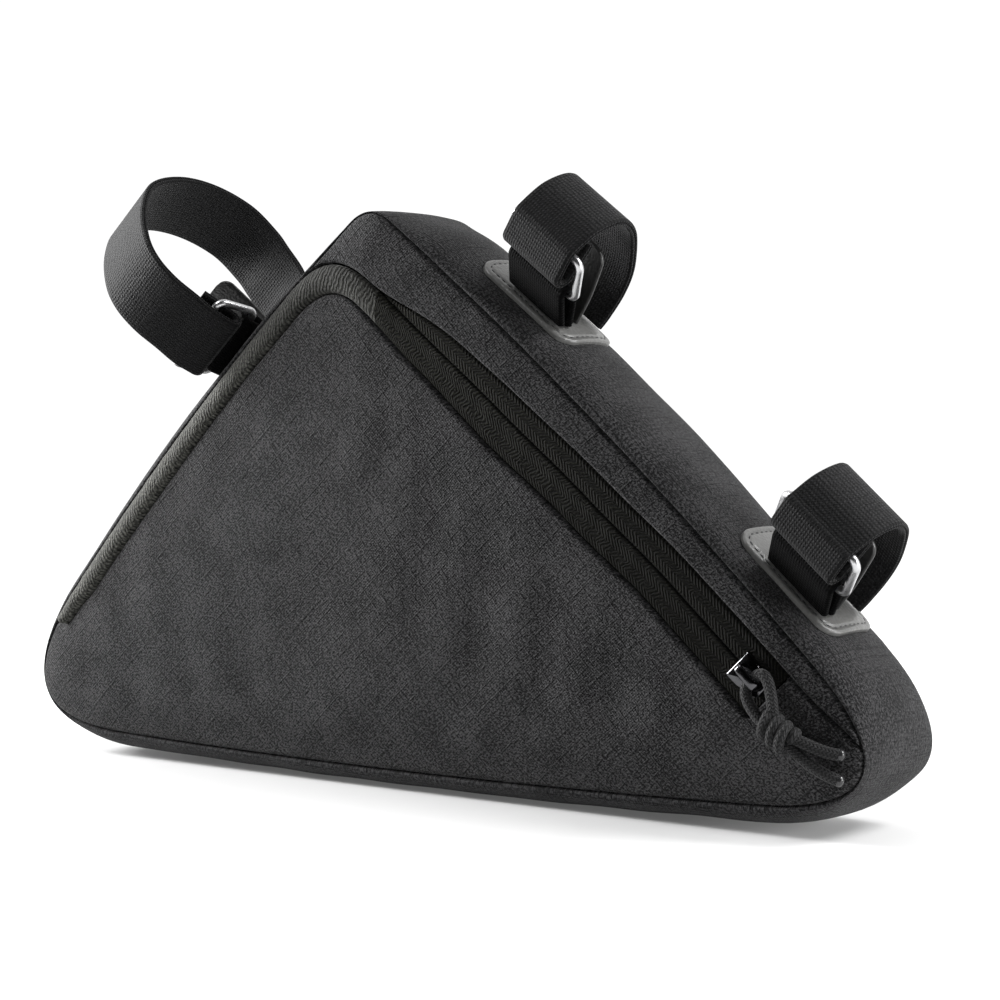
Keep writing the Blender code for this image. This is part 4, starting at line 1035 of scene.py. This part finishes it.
def panel(name, rim, place, unevenness, replaces, seed):
    """A domed cloth panel inside a closed rim: folded down at the rim, uneven and a little slack inside.

    Rows of points follow the rim, a triangle grid fills the rest, and a triangulation joins them.
    """
    rim = evened(rim)
    square = -left_of(closed_direction(rim))
    rim = rim + square * SEAM_GAP
    spots = [rim]
    for inset in PANEL_RIM_INSETS:
        row = rim + square * inset
        spots.append(row[(distance_to(row, rim) > 0.9 * inset) & inside(row, rim)])
    low, high = rim.min(axis=0), rim.max(axis=0)
    x, z = np.meshgrid(np.arange(low[0], high[0], PANEL_STEP), np.arange(low[1], high[1], PANEL_STEP * 0.866))
    x = x + (np.arange(len(x)) % 2 * PANEL_STEP / 2)[:, None]
    grid = np.stack([x, z], axis=-1).reshape(-1, 2)
    grid = grid[inside(grid, rim)]
    spots.append(grid[distance_to(grid, rim) > PANEL_GRID_INSET])
    flat = [Vector(spot) for spot in np.vstack(spots).tolist()]
    made = delaunay_2d_cdt(flat, [], [list(range(len(rim)))], 1, 1e-7)
    xz = np.array([tuple(spot) for spot in made[0]])
    top = np.array(made[2])
    distance = distance_to(xz, rim)
    settle = 1 - np.exp(-distance / PANEL_SETTLE_REACH)
    slack = settled(xz, rim, place, -1.0 if place is on_front else 1.0)
    lift = fold(distance) + (unevenness * drift(xz[:, 0], xz[:, 1], seed) + slack) * settle
    sides = np.vstack([top[:, [0, 1]], top[:, [1, 2]], top[:, [2, 0]]])
    code = np.sort(sides, axis=1) @ np.array([len(xz), 1])
    _, first, count = np.unique(code, return_index=True, return_counts=True)
    a, b = sides[first[count == 1]].T
    under = len(xz)
    faces = np.vstack([top, top[:, ::-1] + under, np.stack([b, a, a + under], axis=1),
                       np.stack([b, a + under, b + under], axis=1)])
    points = np.vstack([place(xz, lift), place(xz, np.minimum(lift, 0) - CLOTH)])
    return make_piece(name, points, faces, np.vstack([xz, xz])[faces.ravel()], CLOTH_FACE,
                      replaces=[replaces])


def front():
    """The zipped face: flap, band and the two halves of the tape."""
    marks = (ROLL_START, SLIT_LEAVES_REAR, FLAP_LEAVES_REAR)
    roll_start, slit_leaves, flap_leaves = side_frame("rear", marks)[0]
    flap_rear = seam_stretch(roll_start, flap_leaves)
    along = np.linspace(ROLL_START, FLAP_LEAVES_REAR, len(flap_rear))
    flap_rear = flap_rear + inward(flap_rear) * (ROLL_WIDTH * blend_rows(along, ROLL_ROWS))[:, None]
    flap_upper = inset_line("upper", FLAP_JOINS_UPPER, TAPE_END, flap_inset, LINE_STATIONS)
    flap_edge = np.vstack([flap_rear, bend(flap_rear, flap_upper), flap_upper])
    slit_rear = seam_stretch(roll_start, slit_leaves)
    slit_upper = inset_line("upper", SLIT_JOINS_UPPER, TAPE_END, slit_inset, LINE_STATIONS)
    slit_bend = bend(slit_rear, slit_upper)
    slit_edge = np.vstack([slit_rear, slit_bend, slit_upper])
    band_upper = inset_line("upper", UPPER_TAPE_START, TAPE_END, band_inset, LINE_STATIONS)
    nose_start = inset_line("upper", TAPE_END - 0.002, TAPE_END, lambda along: NOSE_LINE_INSET + 0 * along, 2)
    nose_and_on = seam_stretch(PINCH_PLACE, slit_rear[0])
    pinch = nose_and_on[0]
    straight_on = np.stack([pinch, pinch + unit(pinch - nose_start[1]) * MM])
    nose_line = np.vstack([nose_start[1:], bend(nose_start, straight_on), nose_and_on[:1]])
    lower_tape(slit_edge, flap_edge)
    upper_tape()
    band(slit_rear, slit_bend, band_upper, np.vstack([band_upper, nose_line]))
    rim = np.vstack([flap_edge, nose_line[:-1], nose_and_on[:-1]])
    panel("flap_cloth", rim, on_front, FLAP_DRIFT, "front_flap", 11)


def tape_lift(from_slit, from_cloth):
    """Lift of the flat tape: sunk, and folded down at the slit and at the cloth."""
    return -TAPE_RECESS + 0.5 * fold(from_slit, TAPE_SLIT_FOLD) + fold(from_cloth, TAPE_CLOTH_FOLD)


def lower_tape(slit_edge, flap_edge):
    """Lower half of the tape: flat under the slider, a raised roll down the rear edge."""
    slit_line, flap_line = resampled(slit_edge, TAPE_STATIONS), resampled(flap_edge, TAPE_STATIONS)
    start = slit_line + inward(slit_line) * TAPE_GAP
    shares = np.linspace(0, 1, 25)
    under = between(flap_line, flap_line + inward(flap_line), TAPE_TUCK)
    xz = np.concatenate([between(start, flap_line, shares), under], axis=1)
    flatness = blend_rows(np.linspace(0, 1, TAPE_STATIONS), ROLL_TO_FLAT_ROWS)[:, None]
    width = np.linalg.norm(flap_line - start, axis=1)[:, None]
    run = run_of(slit_line)
    hump = np.sin(np.pi * np.clip(shares, 0.004, 0.996)) ** 0.55
    roll = ROLL_RISE * hump + fold(np.minimum(shares, 1 - shares) * width, 0.0010)
    lift = (1 - flatness) * roll + flatness * tape_lift(shares * width, (1 - shares) * width)
    lift = lift + 0.00018 * pucker(run[:, None], 0.002, 21)
    lift = np.concatenate([lift, np.broadcast_to(TAPE_TUCK_LIFT, under.shape[:2])], axis=1)
    uv = crossed(run, np.concatenate([shares * TAPE_HALF, TAPE_HALF + TAPE_TUCK]))
    outer, inner = on_front(xz, lift), on_front(xz, lift - TAPE_WALL)
    middle = int(TAPE_STATIONS * ROLL_PART)
    for name, part, finish in (
        ("tape_roll", slice(0, middle + 1), ROLL),
        ("tape_lower", slice(middle, None), TAPE),
    ):
        shell(name, outer[part], inner[part], uv[part], finish, "zip_tape", replaces=["zip_tape_lower"])


def upper_tape():
    """Upper half: from where it comes out from under the band to the end of the tape."""
    along = np.linspace(UPPER_TAPE_START, TAPE_END, 240)
    point, _, normal = side_frame("upper", along)
    band_side = band_inset(along)[:, None]
    slit_side = np.maximum(slit_inset(along)[:, None] - TAPE_GAP, band_side + 0.0001)
    room = slit_side - band_side
    shares = np.linspace(0, 1, 15)
    insets = np.concatenate([band_side - TAPE_TUCK[::-1], band_side + room * shares], axis=1)
    xz = point[:, None, :] - normal[:, None, :] * insets[..., None]
    tucked = np.broadcast_to(TAPE_TUCK_LIFT[::-1], (len(along), len(TAPE_TUCK)))
    lift = np.concatenate([tucked, tape_lift((1 - shares) * room, shares * room)], axis=1)
    uv = crossed(along * side_length("upper"), insets - slit_side)
    shell("tape_upper", on_front(xz, lift), on_front(xz, lift - TAPE_WALL), uv, TAPE, "zip_tape",
          replaces=["zip_tape_upper"])


def band(slit_rear, slit_bend, band_upper, band_edge):
    """The narrow cloth band between the seam and the zip, round the apex to the pinch at the nose."""
    inner_a = np.vstack([slit_rear[-1:], slit_bend, band_upper[:1]])
    turn_mark = side_frame("upper", UPPER_TAPE_START)[0]
    outer_a = seam_stretch(slit_rear[-1], turn_mark)
    outer_b = seam_stretch(turn_mark, band_edge[-1])
    outer = np.vstack([outer_a, outer_b[1:]])
    inner = np.vstack([at_same_shares(inner_a, outer_a), at_same_shares(band_edge, outer_b)[1:]])
    wide = np.linalg.norm(outer - inner, axis=1) > BAND_LEAST
    outer = resampled(outer[wide], BAND_STATIONS)
    inner = at_same_shares(inner[wide], outer)
    start, end = outer + inward(outer) * SEAM_GAP, inner - inward(inner) * SEAM_GAP
    shares = 0.5 - 0.5 * np.cos(np.linspace(0, math.pi, 31))
    xz = between(start, end, shares)
    width = np.linalg.norm(end - start, axis=1)[:, None]
    radius = np.minimum(FOLD, 0.4 * width)
    waves = SEAM_PUCKER * pucker(run_of(outer)[:, None], shares * width, 31)
    waves = waves + BAND_DRIFT * drift(xz[..., 0], xz[..., 1], 5)
    lift = fold(shares * width, radius) + fold((1 - shares) * width, radius)
    lift = lift + np.minimum(1, width / 0.006) * waves
    shell("band_cloth", on_front(xz, lift), on_front(xz, np.minimum(lift, 0) - CLOTH), xz.copy(), CLOTH_FACE,
          "bag_cloth", replaces=["front_band"])


# Slider

def slider():
    """The slider's plate, an outline carried through its thickness, and the arch over it."""
    origin, run, across, up = slider_seat()

    def placed(spots):
        return origin + spots @ np.stack([run, across, up])

    edge = smooth_through(np.array(SLIDER_EDGE) * (SLIDER_LENGTH / 2, SLIDER_WIDTH / 2), 6)
    loop = np.vstack([edge, edge[::-1] * (1, -1)])
    centre = loop.mean(axis=0)
    rings = np.stack([np.column_stack([centre + (loop - centre) * s, np.full(len(loop), h * SLIDER_PLATE)])
                      for s, h in SLIDER_LEVELS])
    carried("slider_plate", placed(rings), rings[..., :2].copy(), DARK_STEEL, "slider_metal",
            replaces=["zip_slider"], crease=40)
    crown = SLIDER_PLATE + CORD_DIAMETER + CORD_ROOM + BRIDGE_BAR / 2
    long = BRIDGE_LENGTH / 2 - BRIDGE_BAR / 2
    arch = np.array([
        (-long, 0.7 * SLIDER_PLATE), (-long, 0.6 * crown), (-0.92 * long, 0.90 * crown),
        (-0.72 * long, crown), (0.0, 1.02 * crown), (0.72 * long, crown),
        (0.92 * long, 0.90 * crown), (long, 0.6 * crown), (long, 0.7 * SLIDER_PLATE),
    ])
    arch = resampled(smooth_through(arch, 8), 60)
    out = left_of(unit(np.gradient(arch, axis=0)))
    sin, cos = np.sin(even_angles(20)), np.cos(even_angles(20))
    flat = np.sign(sin) * np.abs(sin) ** 0.6 * BRIDGE_BAR / 2
    wide = np.sign(cos) * np.abs(cos) ** 0.5 * BRIDGE_WIDTH / 2
    rings = np.stack([arch[:, None, 0] + out[:, None, 0] * flat, np.broadcast_to(wide, (60, 20)),
                      arch[:, None, 1] + out[:, None, 1] * flat], axis=-1)
    rings = rings + BRIDGE_SHIFT
    carried("slider_bridge", placed(rings), rings[..., :2].copy(), DARK_STEEL, "slider_metal",
            replaces=["zip_slider"], crease=40)


# Straps

class StrapPlace:
    """The local frame of a strap: along the tube, across the bag and out from the crest."""

    def __init__(self, side, share, turn=0.0, shift=(0.0, 0.0)):
        self.side, self.share, self.turn, self.shift = side, share, turn, np.array(shift)
        near = share + np.array((-0.01, 0.0, 0.01))
        point, _, normal = side_frame(side, near)
        crest = point + normal * crown_at(side, near)[:, None]
        run = unit(crest[2] - crest[0])
        self.crest = np.array([crest[1, 0], 0, crest[1, 1]])
        self.run = np.array([run[0], 0, run[1]])
        self.out = np.array([-run[1], 0, run[0]])

    def grid(self, across, up, along):
        """Places from matching arrays of across, up and along."""
        across, up, along = np.broadcast_arrays(across, up, along)
        return (self.crest + across[..., None] * np.array([0.0, 1.0, 0.0]) + up[..., None] * self.out
                + along[..., None] * self.run)

    def patch_top(self, across):
        """Height of the patch's upper face over the crest, where a foot stands on it."""
        fall = crown_at(self.side, self.share) * (1 - np.sqrt(1 - (2 * across / DEPTH) ** 2))
        return PATCH_SEAT + PATCH_THICK - fall

    def turned(self, spot):
        """A place of the lock, (across, up), after its turn about the crest and its shift."""
        across, up = spot
        cos, sin = math.cos(self.turn), math.sin(self.turn)
        return np.array([across * cos - up * sin, across * sin + up * cos]) + self.shift


def doubled_section(width, thick):
    """Section of a doubled strap: two flat faces, and two rounded layers at each edge."""
    half = thick / 2
    flat = np.linspace(-1, 1, 25) * (width / 2 - half / 2)
    down = np.linspace(1, -1, 11)[1:-1]
    layer = np.sqrt(np.maximum(0, 1 - (2 * np.abs(down) - 1) ** 2)) * half / 2
    edge = width / 2 - half / 2 + layer
    w = np.concatenate([flat, edge, -flat, -edge])
    t = np.concatenate([np.full(25, half), down * half, np.full(25, -half), -down * half])
    return w, t


def plain_section(width, thick):
    """Section of one layer: flat faces and half-round edges."""
    half = thick / 2
    flat = np.linspace(-1, 1, 21) * (width / 2 - half)
    turn = np.linspace(math.pi / 2, -math.pi / 2, 9)[1:-1]
    edge = width / 2 - half + half * np.cos(turn)
    w = np.concatenate([flat, edge, -flat, -edge])
    t = np.concatenate([np.full(21, half), half * np.sin(turn), np.full(21, -half), -half * np.sin(turn)])
    return w, t


def ribbon(name, place, path, section, finish, slot, corner=0.0, replaces=(), seed=1):
    """A strip along a path of (across, up), with its section square to it and round end corners."""
    side = left_of(unit(np.gradient(path, axis=0)))
    w, t = section
    run = run_of(path)
    left = np.minimum(run[-1] - run, corner)
    half = w.max()
    slim = (half - corner + np.sqrt(np.maximum(0, corner ** 2 - (corner - left) ** 2))) / half
    sway = 0.0002 * drift(run, 0 * run, seed)
    across = path[:, None, 0] + side[:, None, 0] * t[None, :]
    up = path[:, None, 1] + side[:, None, 1] * t[None, :]
    along = w[None, :] * slim[:, None] + sway[:, None]
    uv = crossed(run - run[-1], w)
    return carried(name, place.grid(across, up, along), uv, finish, slot, replaces=replaces)


def rounded_loop(half_long, half_wide, radius, steps):
    """A rectangle with round corners, as points going round it."""
    corners = []
    for sx, sz, start in ((1, 1, 0), (-1, 1, 90), (-1, -1, 180), (1, -1, 270)):
        centre = (sx * (half_long - radius), sz * (half_wide - radius))
        corners.append(arc(centre, radius, start, start + 90, steps))
    return np.vstack(corners)


def patch_line(inset, count):
    """A line round the patch as (along, across), moved in from its edge."""
    sizes = (PATCH_LENGTH / 2, PATCH_WIDTH / 2, PATCH_CORNER)
    return closed_even(rounded_loop(*(size - inset for size in sizes), 12), count)


def patch(name, side, middle_share):
    """A rounded leatherette patch sewn over the crown: pressed edge, a sunk line under its stitches."""
    def on_crown(spots, lift):
        share = middle_share + spots[..., 0] / side_length(side)
        return gusset_top(side, share, spots[..., 1], lift)

    top = PATCH_SEAT + PATCH_THICK
    rim = patch_line(0.0, 200)
    spots = disc(rim, 40)
    distance = distance_to(spots, rim)
    sewn = 0.00035 * np.exp(-((distance - STITCH_INSET) / 0.0005) ** 2)
    lift = top + fold(distance, 0.0007) - sewn + 0.00012 * drift(spots[..., 0], spots[..., 1], 9)
    outer, inner = on_crown(spots, lift), on_crown(spots, PATCH_SEAT - 0.0003)
    shell(f"{name}_leather", outer, inner, spots.copy(), LEATHER, "patch_leatherette", closed=True,
          replaces=[name])
    row = patch_line(STITCH_INSET, 160)
    base = on_crown(row, top - 0.0003)
    stitches(f"{name}_stitches", base, on_crown(row, top + 0.002) - base, THREAD)


def strap_set(name, place, rows, size):
    """Pad, base webbing, ring and long loop of one strap."""
    hold = RING_WIRE / 2 + GAP + WEBBING_THICK / 2
    foot_gap = 2 * GAP
    low, high = place.turned(RING_LOWER_BAR), place.turned(RING_UPPER_BAR)
    foot = (PAD_FOOT_ACROSS, place.patch_top(PAD_FOOT_ACROSS) + 0.0002)
    bow = (PAD_FOOT_ACROSS + 0.2 * PAD_TOP[0], 0.45 * PAD_TOP[1])
    path = resampled(smooth_through((foot, bow, PAD_TOP), 12), 70)
    ribbon(f"pad_{name}_leather", place, path, plain_section(PAD_WIDTH, PAD_THICK), PAD_LEATHER,
           "patch_leatherette", corner=PAD_CORNER, replaces=[f"pad_{name}"])

    foot_up = float(place.patch_top(BASE_FOOT_ACROSS)) + foot_gap + 0.2 * WEBBING_THICK
    lean_angle = math.degrees(math.atan2(low[1] - foot_up, low[0] - BASE_FOOT_ACROSS))
    turn = arc(low, hold, lean_angle - 90, lean_angle + 90, 25)
    spread = 0.85 * WEBBING_THICK
    rising = resampled(((BASE_FOOT_ACROSS + spread, foot_up), turn[0]), 10)
    falling = resampled((turn[-1], (BASE_FOOT_ACROSS - spread, foot_up)), 10)
    path = np.vstack([rising[:-1], turn, falling[1:]])
    ribbon(f"base_{name}_webbing", place, path, plain_section(WEBBING_WIDTH, WEBBING_THICK), BASE_WEBBING_PAINTED_SHADE,
           "strap_webbing", replaces=[f"base_{name}"], seed=5)

    centre, rise = (low + high) / 2, (high - low) / 2
    tall = float(np.linalg.norm(rise))
    outline = rounded_loop(RING_INSIDE / 2 + RING_WIRE / 2, tall, RING_WIRE, 9)
    spots = centre + outline[:, 1:] * rise / tall
    path = place.grid(spots[:, 0], spots[:, 1], outline[:, 0])
    direction = place.grid(rise[0], rise[1], 0.0) - place.crest
    square = unit(np.cross(direction, place.run))
    hoop(f"ring_{name}_wire", path, RING_WIRE / 2, 20, square, STEEL, "ring_metal", replaces=[f"ring_{name}"])

    loop = np.array(rows) * np.array(size[:2]) + np.array((size[2], 0.0))
    rise = loop[1] - loop[0]
    dip = abs(rise[0]) / np.linalg.norm(rise) * WEBBING_THICK / 2
    loop[0, 1] = place.patch_top(loop[0, 0]) + foot_gap + dip
    past_bar = place.turned((RING_UPPER_BAR[0] - hold - GAP, RING_UPPER_BAR[1]))
    lean_turn = math.degrees(place.turn)
    turn = arc(place.turned(TURN_CENTRE), hold, 180 + lean_turn, 360 + lean_turn, 21)
    below_tail = place.turned((TAIL_TOP[0], RING_UPPER_BAR[1]))
    outer_run = smooth_through(np.vstack([loop, past_bar, turn[:1]]), 14)
    tail_run = smooth_through(np.vstack([turn[-1:], below_tail, place.turned(TAIL_TOP)]), 10)
    path = resampled(np.vstack([outer_run[:-1], turn, tail_run[1:]]), 240)
    ribbon(f"strap_{name}_webbing", place, path, doubled_section(WEBBING_WIDTH, WEBBING_THICK), WEBBING,
           "strap_webbing", replaces=[f"strap_{name}"], seed=8)


# Stage

def studio():
    """A pale floor that glows more with distance, a room dark on the camera's side, and four lamps."""
    along = np.linspace(-2.5, 2.5, 3)
    profile = np.array([(-0.45, 0.0), (0.0, 0.0), (1.2, 0.0), (3.0, 0.0)])
    heading = np.array([-math.sin(CAMERA_TURN), math.cos(CAMERA_TURN)])
    side = np.array([math.cos(CAMERA_TURN), math.sin(CAMERA_TURN)])
    xy = profile[:, None, :1] * heading + along[None, :, None] * side
    points = np.concatenate([xy, np.broadcast_to(profile[:, None, 1:], xy.shape[:2] + (1,))], axis=-1)
    mesh = bpy.data.meshes.new("studio_floor")
    index = np.arange(points.shape[0] * points.shape[1]).reshape(points.shape[:2])
    mesh.from_pydata(points.reshape(-1, 3).tolist(), [], squares(index)[:, ::-1].tolist())
    floor = bpy.data.objects.new("studio_floor", mesh)
    paint = Finish("pale_floor", 0.8, specular=0.1)
    paint.colour((0.60, 0.60, 0.60, 1.0))
    length = paint.tree.nodes.new("ShaderNodeVectorMath")
    length.operation = "LENGTH"
    paint.set(length.inputs[0], paint.place.outputs["Object"])
    paint.shader.inputs["Emission Color"].default_value = (1.0, 1.0, 1.0, 1.0)
    glow = paint.spread(length.outputs["Value"], 0.10, 0.45, 0.10, 0.75)
    paint.set(paint.shader.inputs["Emission Strength"], glow)
    mesh.materials.append(paint.material)
    bpy.context.scene.collection.objects.link(floor)

    world = bpy.data.worlds.new("studio")
    world.use_nodes = True
    tree = world.node_tree
    place = tree.nodes.new("ShaderNodeTexCoord")
    facing = tree.nodes.new("ShaderNodeVectorMath")
    facing.operation = "DOT_PRODUCT"
    facing.inputs[1].default_value = (-math.sin(CAMERA_TURN), math.cos(CAMERA_TURN), 0.35)
    tree.links.new(place.outputs["Generated"], facing.inputs[0])
    spread = tree.nodes.new("ShaderNodeMapRange")
    for socket, number in zip(spread.inputs[1:], (-0.3, 0.8, 0.0, 1.06)):
        socket.default_value = number
    tree.links.new(facing.outputs["Value"], spread.inputs[0])
    background = tree.nodes["Background"]
    background.inputs["Color"].default_value = (1.0, 1.0, 1.0, 1.0)
    tree.links.new(spread.outputs[0], background.inputs["Strength"])
    bpy.context.scene.world = world

    for name, spot, target, size, watts, cone in (
        ("key_lamp", (-0.75, -0.20, 0.35), (-0.05, -0.02, 0.12), 0.30, 6.6, 120),
        ("top_lamp", (-0.25, -0.35, 0.62), (-0.05, -0.02, 0.17), 0.25, 0.2, 60),
        ("nose_lamp", (0.70, 0.10, 0.10), (0.14, 0.0, 0.05), 0.30, 1.4, 120),
        ("far_lamp", (0.55, 0.15, 0.55), (0.12, 0.0, 0.07), 0.30, 1.4, 90),
    ):
        lamp = bpy.data.lights.new(name, "AREA")
        lamp.size = size
        lamp.spread = math.radians(cone)
        lamp.energy = watts
        made = bpy.data.objects.new(name, lamp)
        made.location = spot
        made.rotation_mode = "QUATERNION"
        made.rotation_quaternion = (Vector(target) - Vector(spot)).to_track_quat("-Z", "Y")
        bpy.context.scene.collection.objects.link(made)


def main():
    place_camera()
    cord_pull()
    gusset()
    front()
    panel("back_cloth", SEAM[0], on_back, BACK_DRIFT, "back_panel", 13)
    slider()
    for name, side, share, rows, size, turn, shift in STRAPS:
        patch(f"patch_{name}", side, share)
        ahead = WEBBING_SHIFT / side_length(side) if side == "upper" else 0.0
        strap_set(name, StrapPlace(side, share + ahead, turn, shift), rows, size)
    studio()
    bpy.context.scene.view_settings.view_transform = "Standard"


main()
